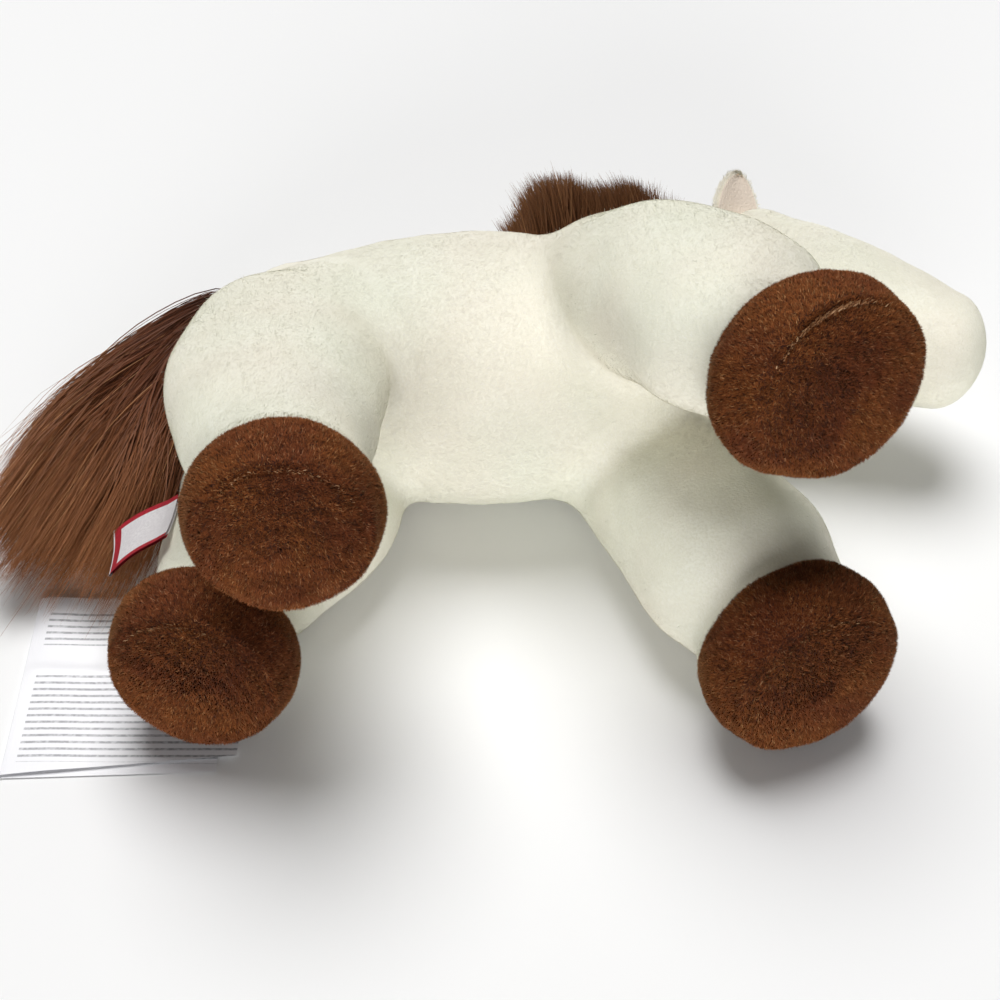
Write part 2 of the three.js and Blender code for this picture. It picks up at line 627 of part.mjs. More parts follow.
// The tail is one brush of hair that fans out from its root on the rump and parts round the tag
function addTail() {
  const [height, shift] = TAIL_SET;
  const depth = RUMP_ROUND * Math.sqrt(1 - (height ** 2 + shift ** 2) / RUMP_RADIUS ** 2);
  const root = new THREE.Vector3(RUMP_X - depth, height, AXIS_Z + shift);
  const spread = [0.35, 0.7, 0.9, 1];
  const form = new StuffedForm([[0, 0, 0], ...TAIL_STEPS].map((step, i) => [
    root.clone().add(vector(step)),
    (TAIL_SPREAD / 2) * spread[i],
    (TAIL_THICKNESS / 2) * Math.min(1, spread[i] + 0.4),
  ]), TAIL_THICKNESS / 3, (TAIL_THICKNESS * 2) / 3, LIMB_SIDES);
  const rump = swept([trunkForm.geometry(SEAM_GAP)], root, UP, TAIL_SWING.map((angle) => -angle));
  const flapRoom = swept([tag.strip(SEAM_GAP)], tag.root, tag.along, [-TAG_FLAP, TAG_FLAP]);
  const legRoom = swept([geometryOf(flapRoom)], legs[0].hinge, UP, [-LEG_SWING, 0]);
  const tagRoom = swept([geometryOf(legRoom)], root, UP, [-TAIL_SWING[1], 0]);
  const thighRoom = swept([legs[0].form.geometry(SEAM_GAP)], legs[0].hinge, UP, [-LEG_SWING, 0]);
  const hair = solidOf(form.geometry()).subtract(rump).subtract(thighRoom).subtract(tagRoom);
  addPiece(bodyAt(root), 'tail', hair, tailHair);
}

function addTag() {
  addPiece(bodyAt(tag.root), 'side_tag', solidOf(tag.strip(0)), wovenRed);
}

addTrunk();
legs.forEach(addLeg);
addHead();
addEar('left', -1);
addEar('right', 1);
addTail();
addTag();

export default horse;
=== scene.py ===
"""A plush horse that lies on its left side, with pile, mane, tail and labels."""

import math

import bpy
import numpy as np
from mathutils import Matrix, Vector
from mathutils.bvhtree import BVHTree


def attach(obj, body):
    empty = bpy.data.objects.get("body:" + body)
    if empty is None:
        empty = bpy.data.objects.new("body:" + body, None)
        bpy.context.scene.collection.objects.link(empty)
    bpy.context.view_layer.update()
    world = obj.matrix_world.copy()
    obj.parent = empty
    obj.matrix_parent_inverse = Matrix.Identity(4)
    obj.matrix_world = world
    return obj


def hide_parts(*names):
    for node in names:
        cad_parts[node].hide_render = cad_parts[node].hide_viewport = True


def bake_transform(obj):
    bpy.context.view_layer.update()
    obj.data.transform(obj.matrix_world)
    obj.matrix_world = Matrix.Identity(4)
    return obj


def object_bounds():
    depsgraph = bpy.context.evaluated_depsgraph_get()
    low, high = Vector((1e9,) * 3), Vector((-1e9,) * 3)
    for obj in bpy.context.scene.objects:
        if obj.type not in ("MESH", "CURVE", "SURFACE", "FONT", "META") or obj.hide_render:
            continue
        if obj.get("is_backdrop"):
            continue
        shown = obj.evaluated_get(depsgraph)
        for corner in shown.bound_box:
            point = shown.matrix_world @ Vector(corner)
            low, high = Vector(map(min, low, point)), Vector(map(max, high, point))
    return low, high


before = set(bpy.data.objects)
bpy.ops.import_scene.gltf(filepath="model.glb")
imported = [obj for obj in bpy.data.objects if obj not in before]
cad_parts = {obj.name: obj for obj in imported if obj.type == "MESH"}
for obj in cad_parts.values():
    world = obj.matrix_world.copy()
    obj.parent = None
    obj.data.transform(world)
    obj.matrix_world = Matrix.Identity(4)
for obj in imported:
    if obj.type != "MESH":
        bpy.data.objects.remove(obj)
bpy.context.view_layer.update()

# Shapes are worked out in millimetres and made in metres
MM = 0.001
UP = np.array([0.0, 0.0, 1.0])
SKIN_INSET = 0.8  # the skin lies this far inside the outline that its pile reaches
LABEL_LEFT, LABEL_RIGHT, LABEL_FAR, LABEL_NEAR = -123.4, -65.2, -52.6, -110.4

# Camera and light

SENSOR = 36.0

scene = bpy.context.scene
scene.view_settings.view_transform = "Standard"

camera_data = bpy.data.cameras.new("camera")
camera_data.sensor_width = SENSOR
camera_data.lens = SENSOR * 1.755
camera_data.clip_start = 0.01
camera = bpy.data.objects.new("camera", camera_data)
camera.location = (0.0, -0.367, 0.353)
camera.rotation_euler = (math.radians(45), 0, 0)
scene.collection.objects.link(camera)
scene.camera = camera


def sun(name, azimuth, elevation, level, softness):
    """A far lamp; level 1 renders a white surface that faces it as white"""
    data = bpy.data.lights.new(name, "SUN")
    data.energy = math.pi * level
    data.angle = math.radians(softness)
    lamp = bpy.data.objects.new(name, data)
    a, e = math.radians(azimuth), math.radians(elevation)
    towards = Vector((math.cos(a) * math.cos(e), math.sin(a) * math.cos(e), math.sin(e)))
    lamp.rotation_euler = towards.to_track_quat("Z", "Y").to_euler()
    scene.collection.objects.link(lamp)


sun("key_light", 97, 68, 0.88, 40)
sun("fill_light", -94, 7, 0.70, 34)

world = bpy.data.worlds.new("studio")
world.use_nodes = True
scene.world = world
sky = world.node_tree.nodes
sky.clear()
kinds = ("OutputWorld", "MixShader", "LightPath", "Background", "Background")
sky_out, sky_mix, sky_path, sky_light, sky_seen = (sky.new("ShaderNode" + kind) for kind in kinds)
SKY_LEVEL, BACKDROP = 0.10, 0.905
sky_light.inputs["Color"].default_value = (1.0, 0.99, 0.97, 1)
sky_light.inputs["Strength"].default_value = SKY_LEVEL
sky_seen.inputs["Color"].default_value = (BACKDROP, BACKDROP, BACKDROP, 1)
sky_seen.inputs["Strength"].default_value = 1.0
link = world.node_tree.links.new
link(sky_path.outputs["Is Camera Ray"], sky_mix.inputs[0])
link(sky_light.outputs[0], sky_mix.inputs[1])
link(sky_seen.outputs[0], sky_mix.inputs[2])
link(sky_mix.outputs[0], sky_out.inputs["Surface"])

# Materials


class Graph:
    """Builds the nodes of one material"""

    def __init__(self, name, roughness, **fixed):
        self.material = bpy.data.materials.new(name)
        self.material.use_nodes = True
        self.tree = self.material.node_tree
        self.shader = self.tree.nodes["Principled BSDF"]
        self.shader.inputs["Roughness"].default_value = roughness
        for key, value in fixed.items():
            self.shader.inputs[key.replace("_", " ")].default_value = value

    def node(self, kind, inputs=None, **settings):
        made = self.tree.nodes.new("ShaderNode" + kind)
        for key, value in settings.items():
            setattr(made, key, value)
        for key, value in (inputs or {}).items():
            if hasattr(value, "links"):
                self.tree.links.new(value, made.inputs[key])
            else:
                made.inputs[key].default_value = value
        return made

    def place(self):
        return self.node("TexCoord").outputs["Object"]

    def noise(self, scale, detail=3.0, stretch=None):
        where = self.place()
        if stretch:
            where = self.node("Mapping", {"Vector": where, "Scale": stretch}).outputs[0]
        made = self.node("TexNoise", {"Vector": where, "Scale": scale, "Detail": detail})
        return made.outputs["Fac"]

    def ramp(self, value, *stops):
        made = self.node("ValToRGB", {"Fac": value})
        elements = made.color_ramp.elements
        while len(elements) < len(stops):
            elements.new(0.5)
        for element, (position, colour) in zip(elements, stops):
            element.position = position
            element.color = (*colour, 1)
        return made.outputs["Color"]

    def drift(self, tones, scale):
        """A slow change from one tone to another"""
        return self.ramp(self.noise(scale, 2.0), (0.35, tones[0]), (0.65, tones[1]))

    def mix(self, share, first, second, blend="MIX"):
        made = self.node("MixRGB", {"Fac": share, "Color1": first, "Color2": second}, blend_type=blend)
        return made.outputs["Color"]

    def colour(self, output):
        self.tree.links.new(output, self.shader.inputs["Base Color"])

    def bump(self, height, depth, strength=1.0):
        made = self.node("Bump", {"Height": height, "Distance": depth, "Strength": strength})
        self.tree.links.new(made.outputs["Normal"], self.shader.inputs["Normal"])


def shade(r, g, b):
    """A colour as seen on a screen, from 0 to 255, as linear light"""
    return tuple(((c / 255 + 0.055) / 1.055) ** 2.4 for c in (r, g, b))


def skin_material(name, dark, light, roughness=1.0, tone=None, knit=0.0003):
    """The cloth under a pile: mottled, with a fine knit"""
    g = Graph(name, roughness)
    dark, light = shade(*dark), shade(*light)
    mottle = g.noise(60.0, 4.0)
    fine = g.noise(1400.0, 2.0)
    base = g.ramp(mottle, (0.3, dark), (0.7, light))
    base = g.mix(g.ramp(fine, (0.35, (0, 0, 0)), (0.65, (1, 1, 1))), base, (*dark, 1))
    if tone:
        base = g.mix(1.0, base, g.drift(tone, 22.0), "MULTIPLY")
    g.colour(base)
    g.bump(fine, knit)
    return g.material


def fibre_material(
    name, root, middle, tip, bright, share, roughness=0.8, patchy=0.2, drift=None, drift_scale=22.0, **fixed
):
    """Fibres: dark at the root, lighter at the tip, with a share of brighter ones among them"""
    g = Graph(name, roughness, **fixed)
    root, middle, tip, bright = (shade(*colour) for colour in (root, middle, tip, bright))
    parts = g.node("SeparateXYZ", {"Vector": g.node("Attribute", attribute_name="fibre").outputs["Vector"]})
    along, pick, patch = parts.outputs
    base = g.ramp(along, (0.0, root), (0.45, middle), (1.0, tip))
    lively = g.ramp(pick, (1 - share, (0, 0, 0)), (min(1, 1.02 - share * 0.4), (1, 1, 1)))
    base = g.mix(lively, base, (*bright, 1))
    tone = g.ramp(patch, (0.0, (1 - patchy, 1 - patchy * 1.05, 1 - patchy * 1.15)), (1.0, (1, 1, 1)))
    base = g.mix(1.0, base, tone, "MULTIPLY")
    if drift:
        base = g.mix(1.0, base, g.drift(drift, drift_scale), "MULTIPLY")
    g.colour(base)
    return g.material


def plain_material(name, colour, roughness, **fixed):
    """Moulded plastic with a faint unevenness"""
    g = Graph(name, roughness, **fixed)
    cloud = g.noise(300.0)
    g.colour(g.ramp(cloud, (0.3, tuple(c * 0.85 for c in colour)), (0.7, colour)))
    g.bump(cloud, 0.00005)
    return g.material


WARM, COOL = (1.0, 0.975, 0.95), (0.985, 1.0, 0.965)
PALE_SKIN = skin_material("pale_cloth", (240, 238, 224), (250, 249, 238), tone=(WARM, COOL), knit=0.0001)
PALE_PILE = fibre_material(
    "pale_pile", (246, 244, 232), (252, 250, 240), (254, 253, 246), (255, 254, 250),
    share=0.2, roughness=0.9, patchy=0.05, drift=(WARM, COOL),
    Specular_IOR_Level=0.1, Sheen_Weight=0.15, Sheen_Roughness=0.5,
)
BROWN_SKIN = skin_material("brown_cloth", (60, 28, 14), (86, 46, 24))
BROWN_PILE = fibre_material(
    "brown_pile", (90, 45, 24), (134, 74, 40), (164, 100, 58), (210, 156, 110),
    share=0.09, roughness=0.85, patchy=0.55,
    drift=((0.74, 0.66, 0.74), (1.0, 1.0, 0.9)), drift_scale=75.0,
    Specular_IOR_Level=0.1, Sheen_Weight=0.25, Sheen_Roughness=0.4, Sheen_Tint=(0.80, 0.58, 0.28, 1),
)
MANE_PILE = fibre_material(
    "mane_pile", (64, 36, 20), (112, 70, 42), (142, 96, 62), (172, 124, 84),
    share=0.08, roughness=0.6, patchy=0.12, Specular_IOR_Level=0.25,
)
TAIL_PILE = fibre_material(
    "tail_pile", (58, 28, 16), (106, 58, 32), (152, 98, 60), (204, 150, 102),
    share=0.04, roughness=0.6, patchy=0.12, Specular_IOR_Level=0.3,
)
# Pale fibres for the seam round a sole: their pale colour is a painted highlight
SEAM_HIGHLIGHT_THREAD = fibre_material(
    "seam_thread", (104, 62, 34), (150, 100, 60), (186, 138, 92), (222, 180, 136),
    share=0.25, roughness=0.7,
)
# A dark mass for inside the tail: painted shade, darker than the hair, for the shade deep in the hair
HAIR_SHADE_CORE = skin_material("hair_shade_core", (38, 20, 12), (62, 36, 22))
LINING = skin_material("ear_lining_cloth", (238, 222, 206), (248, 238, 222))
EYE = plain_material("eye_plastic", (0.02, 0.012, 0.008), 0.08)
WASHER = plain_material("washer_plastic", (0.78, 0.78, 0.75), 0.5)

# Shapes


def unit(v):
    return v / np.maximum(np.linalg.norm(v, axis=-1, keepdims=True), 1e-9)


def ease(t):
    t = np.clip(t, 0, 1)
    return t * t * (3 - 2 * t)


def bearing(degrees):
    a = math.radians(degrees)
    return np.array([math.cos(a), math.sin(a), 0.0])


def waves(points, length, seed, layers=7):
    """A smooth field from -1 to 1 with hills about length apart"""
    r = np.random.default_rng(seed)
    total = np.zeros(len(points))
    for _ in range(layers):
        direction = unit(r.normal(size=3))
        turns = 2 * math.pi / (length * r.uniform(0.7, 1.5))
        total += np.sin(points @ direction * turns + r.uniform(0, 6.3))
    return total / (0.6 * layers)


def flow(stations, step=1.5):
    """Rows at even distances on a smooth curve through stations, with what each station carries"""
    stations = np.array(stations, float)
    reach = np.r_[0, np.cumsum(np.linalg.norm(np.diff(stations[:, :3], axis=0), axis=1))]
    slope = np.gradient(stations, reach, axis=0)
    s = np.linspace(0, reach[-1], int(reach[-1] / step) + 2)
    i = np.clip(np.searchsorted(reach, s, side="right") - 1, 0, len(reach) - 2)
    h = (reach[i + 1] - reach[i])[:, None]
    t = (s - reach[i])[:, None] / h
    return (
        (2 * t**3 - 3 * t**2 + 1) * stations[i]
        + (t**3 - 2 * t**2 + t) * h * slope[i]
        + (3 * t**2 - 2 * t**3) * stations[i + 1]
        + (t**3 - t**2) * h * slope[i + 1]
    )


def spine_frame(rows):
    along = unit(np.gradient(rows[:, :3], axis=0))
    side = unit(np.cross(along, UP))
    return along, side, np.cross(side, along)


def tube(stations, start_round, end_round, sides=96, grow=-SKIN_INSET):
    """A closed stuffed form: oval sections along a spine of [x, y, z, wide, deep], with rounded ends"""
    rows = flow(stations)
    along, side, across = spine_frame(rows)
    turn = np.linspace(0, math.pi / 2, 10)[1:-1]
    rings = [(0, -(start_round + grow) * math.cos(a), math.sin(a)) for a in turn]
    rings += [(i, 0.0, 1.0) for i in range(len(rows))]
    rings += [(-1, (end_round + grow) * math.cos(a), math.sin(a)) for a in turn[::-1]]
    round_angles = np.linspace(0, 2 * math.pi, sides, endpoint=False)[:, None]
    points = [(rows[0, :3] - along[0] * (start_round + grow))[None]]
    for i, push, scale in rings:
        points.append(
            rows[i, :3] + along[i] * push
            + side[i] * (rows[i, 3] + grow) * scale * np.cos(round_angles)
            + across[i] * (rows[i, 4] + grow) * scale * np.sin(round_angles)
        )
    points.append((rows[-1, :3] + along[-1] * (end_round + grow))[None])
    points = np.concatenate(points)
    k = np.arange(sides)
    faces = [np.stack([np.zeros_like(k), 1 + k, 1 + (k + 1) % sides], 1)]
    for row in range(len(rings) - 1):
        a, b = 1 + row * sides, 1 + (row + 1) * sides
        n = (k + 1) % sides
        faces += [np.stack([a + k, b + k, a + n], 1), np.stack([a + n, b + k, b + n], 1)]
    a, last = 1 + (len(rings) - 1) * sides, len(points) - 1
    faces.append(np.stack([np.full_like(k, last), a + (k + 1) % sides, a + k], 1))
    return points, np.concatenate(faces)


def sheet_faces(rows, columns):
    """The faces of a grid of points, counted row by row"""
    i, j = np.meshgrid(np.arange(rows - 1), np.arange(columns - 1), indexing="ij")
    a = (i * columns + j).ravel()
    return np.stack([a, a + 1, a + columns + 1, a + columns], 1)


def joined(parts):
    """Several shells as one list of points and one of faces"""
    offset, points, faces = 0, [], []
    for p, f in parts:
        points.append(p)
        faces.append(f + offset)
        offset += len(p)
    return np.concatenate(points), np.concatenate(faces)


def new_mesh(name, points, faces, scale=MM):
    mesh = bpy.data.meshes.new(name)
    count, size = faces.shape
    mesh.vertices.add(len(points))
    mesh.vertices.foreach_set("co", (np.asarray(points) * scale).astype(np.float32).ravel())
    mesh.loops.add(count * size)
    mesh.loops.foreach_set("vertex_index", faces.astype(np.int32).ravel())
    mesh.polygons.add(count)
    mesh.polygons.foreach_set("loop_start", (np.arange(count) * size).astype(np.int32))
    mesh.update(calc_edges=True)
    return mesh


def put(name, points, faces, material):
    """Makes a piece from points in millimetres"""
    mesh = new_mesh(name, points, faces)
    mesh.materials.append(material)
    mesh.polygons.foreach_set("use_smooth", np.ones(len(faces), bool))
    made = bpy.data.objects.new(name, mesh)
    scene.collection.objects.link(made)
    return made


def remeshed(parts, voxel):
    """One skin round several closed shells"""
    points, faces = joined(parts)
    holder = bpy.data.objects.new("holder", new_mesh("holder", points, faces, 1.0))
    scene.collection.objects.link(holder)
    remesh = holder.modifiers.new("remesh", "REMESH")
    remesh.mode = "VOXEL"
    remesh.voxel_size = voxel
    evaluated = holder.evaluated_get(bpy.context.evaluated_depsgraph_get())
    mesh = evaluated.to_mesh()
    out = np.empty(len(mesh.vertices) * 3)
    mesh.vertices.foreach_get("co", out)
    corners = np.empty(len(mesh.loops), np.int64)
    mesh.loops.foreach_get("vertex_index", corners)
    evaluated.to_mesh_clear()
    bpy.data.objects.remove(holder)
    return out.reshape(-1, 3), corners.reshape(-1, 4)


def edges_of(faces):
    size = faces.shape[1]
    pairs = np.concatenate([faces[:, [i, (i + 1) % size]] for i in range(size)])
    return np.unique(np.sort(pairs, axis=1), axis=0)


def relaxed(points, faces, weight, rounds):
    """Points drawn towards their neighbours, by each point's weight"""
    a, b = edges_of(faces).T
    both, other = np.r_[a, b], np.r_[b, a]
    count = np.maximum(np.bincount(both, minlength=len(points)), 1)[:, None]
    points = points.copy()
    for _ in range(rounds):
        total = np.stack([np.bincount(both, points[other, i], len(points)) for i in range(3)], 1)
        points += weight[:, None] * (total / count - points)
    return points


def normals_of(points, faces):
    a, b, c = (points[faces[:, i]] for i in range(3))
    d = points[faces[:, -1]]
    flat = np.cross(c - a, d - b)
    total = np.zeros_like(points)
    for i in range(faces.shape[1]):
        total += np.stack([np.bincount(faces[:, i], flat[:, k], len(points)) for k in range(3)], 1)
    return unit(total)


def used_only(points, faces, *fields):
    """Drops the points that no face uses"""
    used = np.unique(faces)
    index = np.full(len(points), -1)
    index[used] = np.arange(len(used))
    return (points[used], index[faces], *(f[used] for f in fields))


class Shell:
    """A closed form that tells how far outside it points lie, or inside as a negative distance"""

    def __init__(self, parts):
        self.trees = [BVHTree.FromPolygons(p.tolist(), f.tolist()) for p, f in parts]

    def distance(self, points):
        out = np.full(len(points), 1e9)
        for tree in self.trees:
            for i, p in enumerate(points):
                p = Vector(p)
                spot, normal, _, gap = tree.find_nearest(p)
                out[i] = min(out[i], gap if (p - spot).dot(normal) > 0 else -gap)
        return out


def bulged(points, faces, seed, depth=0.5, length=30):
    """The soft unevenness of a stuffed skin"""
    normals = normals_of(points, faces)
    height = waves(points, length, seed) + 0.4 * waves(points, length * 0.35, seed + 1)
    return points + normals * (depth * height)[:, None]


# Pile


def scattered(points, faces, normals, density, weight, r):
    """Random places on a skin, with the normal at each"""
    if faces.shape[1] == 4:
        faces = np.concatenate([faces[:, [0, 1, 2]], faces[:, [0, 2, 3]]])
    a, b, c = (points[faces[:, i]] for i in range(3))
    area = np.linalg.norm(np.cross(b - a, c - a), axis=1) / 2 * weight[faces].mean(axis=1)
    count = int(area.sum() * density)
    pick = np.searchsorted(np.cumsum(area), r.uniform(0, area.sum(), count))
    pick = np.clip(pick, 0, len(faces) - 1)
    u, v = r.uniform(size=(2, count, 1))
    flip = (u + v) > 1
    u, v = np.where(flip, 1 - u, u), np.where(flip, 1 - v, v)
    roots = a[pick] + u * (b - a)[pick] + v * (c - a)[pick]
    n = unit(sum(w * normals[faces[pick, i]] for i, w in enumerate((1 - u - v, u, v))))
    return roots, n


def blades(
    name, roots, normals, comb, length, width, lean, material, seed, floor,
    tuft, wild, spread, soft, roll, stray=0.0,
):
    """A pile of short curved fibres, each a tapering blade of three faces

    A stray share of them stands up, and is thin.
    """
    r = np.random.default_rng(seed)
    count = len(roots)
    flat = unit(comb - normals * (comb * normals).sum(1, keepdims=True))
    other = np.cross(normals, flat)
    swirl = 0.5 * waves(roots, tuft * 4, seed + 5) + 0.45 * waves(roots, tuft, seed + 6)
    angle = (r.normal(0, wild, count) + swirl)[:, None]
    heading = np.cos(angle) * flat + np.sin(angle) * other
    patch = waves(roots, tuft * 1.3, seed + 7)
    tilt = np.radians(np.clip(lean + r.normal(0, spread, count) + 0.6 * spread * patch, 5, 84))[:, None]
    astray = (r.uniform(size=count) < stray)[:, None]
    tilt = np.where(astray, np.radians(r.uniform(20, 60, (count, 1))), tilt)
    size = (length * r.uniform(0.7, 1.15, count) * (1 + 0.10 * patch))[:, None] * np.where(astray, 1.1, 1)
    rise = np.cos(tilt) * normals + np.sin(tilt) * heading
    bent = np.radians(40 * roll)
    late = np.cos(tilt + bent) * normals + np.sin(tilt + bent) * heading
    lateral = unit(np.cross(rise, normals) / np.sin(tilt) + roll * r.normal(size=(count, 3)))
    half = lateral * (width * r.uniform(0.8, 1.2, count) / 2)[:, None] * np.where(astray, 0.42, 1)
    middle = roots + rise * size * 0.5
    tip = middle + late * size * 0.5
    low = roots - normals * 0.25
    corners = [low - half, low + half, middle - half * 0.8, middle + half * 0.8, tip]
    points = np.stack(corners, 1).reshape(-1, 3)
    points[:, 2] = np.maximum(points[:, 2], floor)
    k = np.arange(count)[:, None] * 5
    faces = np.concatenate([k + [0, 1, 3], k + [0, 3, 2], k + [2, 3, 4]])
    along = np.tile([0.0, 0.0, 0.5, 0.5, 1.0], count)
    pick = np.repeat(r.uniform(size=count), 5)
    shade_patch = np.repeat(np.clip(0.5 + 0.5 * patch + r.normal(0, 0.25, count), 0, 1), 5)
    flat_normal = unit(np.cross(lateral, rise))
    facing = np.repeat(unit(normals * soft + 0.35 * flat_normal + 0.12 * rise), 5, axis=0)
    return fibre_piece(name, points, faces, along, pick, shade_patch, material, facing)


def fibre_piece(name, points, faces, along, pick, patch, material, facing=None):
    made = put(name, points, faces, material)
    if facing is not None:
        made.data.normals_split_custom_set_from_vertices(facing)
    attribute = made.data.attributes.new("fibre", "FLOAT_VECTOR", "POINT")
    attribute.data.foreach_set("vector", np.stack([along, pick, patch], 1).astype(np.float32).ravel())
    return made


def strands(name, paths, widths, material, seed):
    """Long fibres as ribbons; paths is [strand, step, xyz] and widths [strand]"""
    r = np.random.default_rng(seed)
    count, steps, _ = paths.shape
    along = unit(np.gradient(paths, axis=1))
    facing = unit(r.normal(size=(count, 1, 3)) * 0.8 + UP)
    lateral = unit(np.cross(along, facing))
    taper = np.interp(np.linspace(0, 1, steps), [0, 0.7, 1], [1, 0.8, 0.12])[None, :, None]
    half = lateral * (widths[:, None, None] / 2) * taper
    points = np.stack([paths - half, paths + half], 2).reshape(-1, 3)
    on_label = (points[:, 0] > LABEL_LEFT - 2) & (points[:, 1] < LABEL_FAR + 2)
    points[:, 2] = np.maximum(points[:, 2], np.where(on_label, 2.2, 0.1))
    step = np.arange(steps - 1) * 2
    quad = np.stack([step, step + 1, step + 3, step + 2], 1)
    faces = (np.arange(count)[:, None, None] * steps * 2 + quad[None]).reshape(-1, 4)
    share = np.tile(np.repeat(np.linspace(0, 1, steps), 2), count)
    pick = np.repeat(r.uniform(size=count), steps * 2)
    patch = np.repeat(r.uniform(size=count), steps * 2)
    return fibre_piece(name, points, faces, share, pick, patch, material)


# Trunk

AXIS_Z = 35.5
stations = [
    [-53.5, 0, AXIS_Z + 0.8, 30.6, 31.0],
    [-21.2, 0, AXIS_Z + 1.3, 37, 37.2],
    [9.25, 0, AXIS_Z + 1.3, 37, 37.2],
    [31, 0, AXIS_Z + 0.5, 33, 33.5],
]
trunk_points, trunk_faces = tube(stations, 26, 26, 128)
trunk_points = bulged(trunk_points, trunk_faces, 3, 0.45)
trunk = (trunk_points, trunk_faces)
trunk_shell = Shell([trunk])

# Legs

HOOF_BACK, HOOF_FRONT = 10.0, 8.0  # how far a hoof reaches from its widest ring
HOOF_RADIUS, SOLE_RADIUS, SHANK = 24.2, 22.0, 20.5


class Leg:
    """A stuffed leg from its hinge to its hoof, with the sections that its form runs through"""

    def __init__(
        self, name, hinge, hoof_z, swing, length, root, half, back, knee, arch=0.0, floor=0.0,
        seed=0, squash=(1.0, 1.0), bulge=0.0, bend=(0.0, 0.0, 0.0), shank=SHANK,
    ):
        self.name, self.floor, self.seed = name, floor, seed
        self.hinge = np.array(hinge, float)
        climb = math.asin((hoof_z - hinge[2]) / length)
        s = math.radians(swing)
        level = np.array([math.sin(s), -math.cos(s), 0.0])
        self.direction = level * math.cos(climb) + UP * math.sin(climb)
        self.ankle, self.rim = length - HOOF_BACK, length + HOOF_FRONT
        seam = self.ankle
        stations = [
            (0, root, half, 0),
            (seam * 0.4, (root + knee) / 2 + bulge, (half + knee) / 2, arch),
            (seam * 0.7, knee, (SHANK + knee) / 2, arch * 0.75),
            (seam, shank, (SHANK + shank) / 2, 0),
            (length - HOOF_BACK / 2, HOOF_RADIUS * 0.97, HOOF_RADIUS * 0.97, 0),
            (length, HOOF_RADIUS, HOOF_RADIUS, 0),
            (length + HOOF_FRONT, SOLE_RADIUS, SOLE_RADIUS, 0),
        ]
        self.stations = [
            [*(self.hinge + self.direction * d + UP * lift), wide, deep] for d, wide, deep, lift in stations
        ]
        for i, shift in enumerate(bend):
            self.stations[i + 1][0] += shift
        self.squash = squash
        wide, deep = squash
        self.stations[4:] = [[*row[:3], row[3] * wide, row[4] * deep] for row in self.stations[4:]]
        points, faces = tube(self.stations, back, 7)
        self.form = (bulged(points, faces, 20 + seed, 0.5), faces)
        self.shell = Shell([self.form])

    def at(self, distance):
        return self.hinge + self.direction * distance


REAR_LENGTH, FRONT_LENGTH = 85.4, 87
legs = [
    Leg(
        "rear_left", (-55, -9, 17.5), hoof_z=25.0, swing=-11.4, length=REAR_LENGTH, root=29, half=18,
        back=20, knee=24, floor=1.2, seed=1, squash=(0.98, 1.0), bulge=4.5, bend=(4.0, 0.5, 0.0),
    ),
    Leg(
        "rear_right", (-55, -9, 56), hoof_z=74.0, swing=4.5, length=REAR_LENGTH, root=27.5, half=18,
        back=20, knee=25, seed=2, squash=(0.96, 0.92), bulge=2.2, bend=(-3.0, -2.0, 0.0),
    ),
    Leg(
        "front_left", (36, -13, 17.5), hoof_z=23.7, swing=25, length=FRONT_LENGTH, root=22.5, half=18,
        back=22.5, knee=26.6, arch=3.5, seed=3, squash=(1.04, 1.03), bend=(0.0, 1.5, 1.0), shank=22.6,
    ),
    Leg(
        "front_right", (29, 4, 61), hoof_z=91.5, swing=31.6, length=FRONT_LENGTH, root=24, half=21.5,
        back=22.5, knee=26.6, arch=7, seed=4, squash=(1.14, 0.97), shank=22.0,
    ),
]

COLLAR = 9.0  # how far round a limb the skin is drawn into one curve with the trunk
CREASE_ROUNDS, SMALLEST_FOLD = 45, 1.5


def limb_skin(parts, own_crease=None):
    """The skin of a limb and of the trunk close to it, drawn into one soft curve where they meet"""
    points, faces = remeshed([trunk, *parts], SMALLEST_FOLD)
    shells = [Shell([p]) for p in parts]
    gaps = np.stack([s.distance(points) for s in shells])
    near = gaps.min(axis=0)
    on_trunk = trunk_shell.distance(points)
    crease = ease(1 - np.maximum(np.abs(on_trunk), np.abs(near)) / COLLAR)
    for first in range(len(parts)):
        for second in range(first):
            both = np.maximum(np.abs(gaps[first]), np.abs(gaps[second]))
            crease = np.maximum(crease, ease(1 - both / own_crease))
    points = relaxed(points, faces, 0.6 * crease, CREASE_ROUNDS)
    points = relaxed(points, faces, np.full(len(points), 0.35), 3)
    normals = normals_of(points, faces)
    sink = ease((near - (COLLAR - 1)) / 4)
    points = points - normals * (3.0 * sink)[:, None]
    keep = (near[faces] < COLLAR + 3).all(axis=1)
    return used_only(points, faces[keep], normals, near)


PILE_DENSITY = 4.5  # fibres in a square millimetre
HOOF_DENSITY = 22.0
HOOF_BLADE = (1.15, 0.17, 36)
COMB_BACK = np.array([-1.0, -0.25, 0.0])
PALE_BLADE = (1.3, 0.125, 82.5)  # length, width and lean of a fibre
PALE_LAY = {"tuft": 3.5, "wild": 0.35, "spread": 1.5, "soft": 3.0, "roll": 0.04, "stray": 0.008}


def pale_pile(name, roots, upright, comb, seed, floor=0.1, blade=PALE_BLADE):
    pile = blades(name, roots, upright, comb, *blade, PALE_PILE, seed, floor, **PALE_LAY)
    return pile


def dress_limb(skin, pile, body, start, end, *solids):
    """Bakes where a skin and its pile stand into their points, and hides the solids they replace; body,
    start and end are not used
    """
    for piece in (skin, pile):
        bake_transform(piece)
    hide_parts(*solids)


def clear_of_legs(weight, points, own=None):
    """The weight of a pile, with none left where a skin lies inside another leg"""
    for other in legs:
        if other is not own:
            weight = weight * ease((other.shell.distance(points) + 2.5) / 1.0)
    return weight


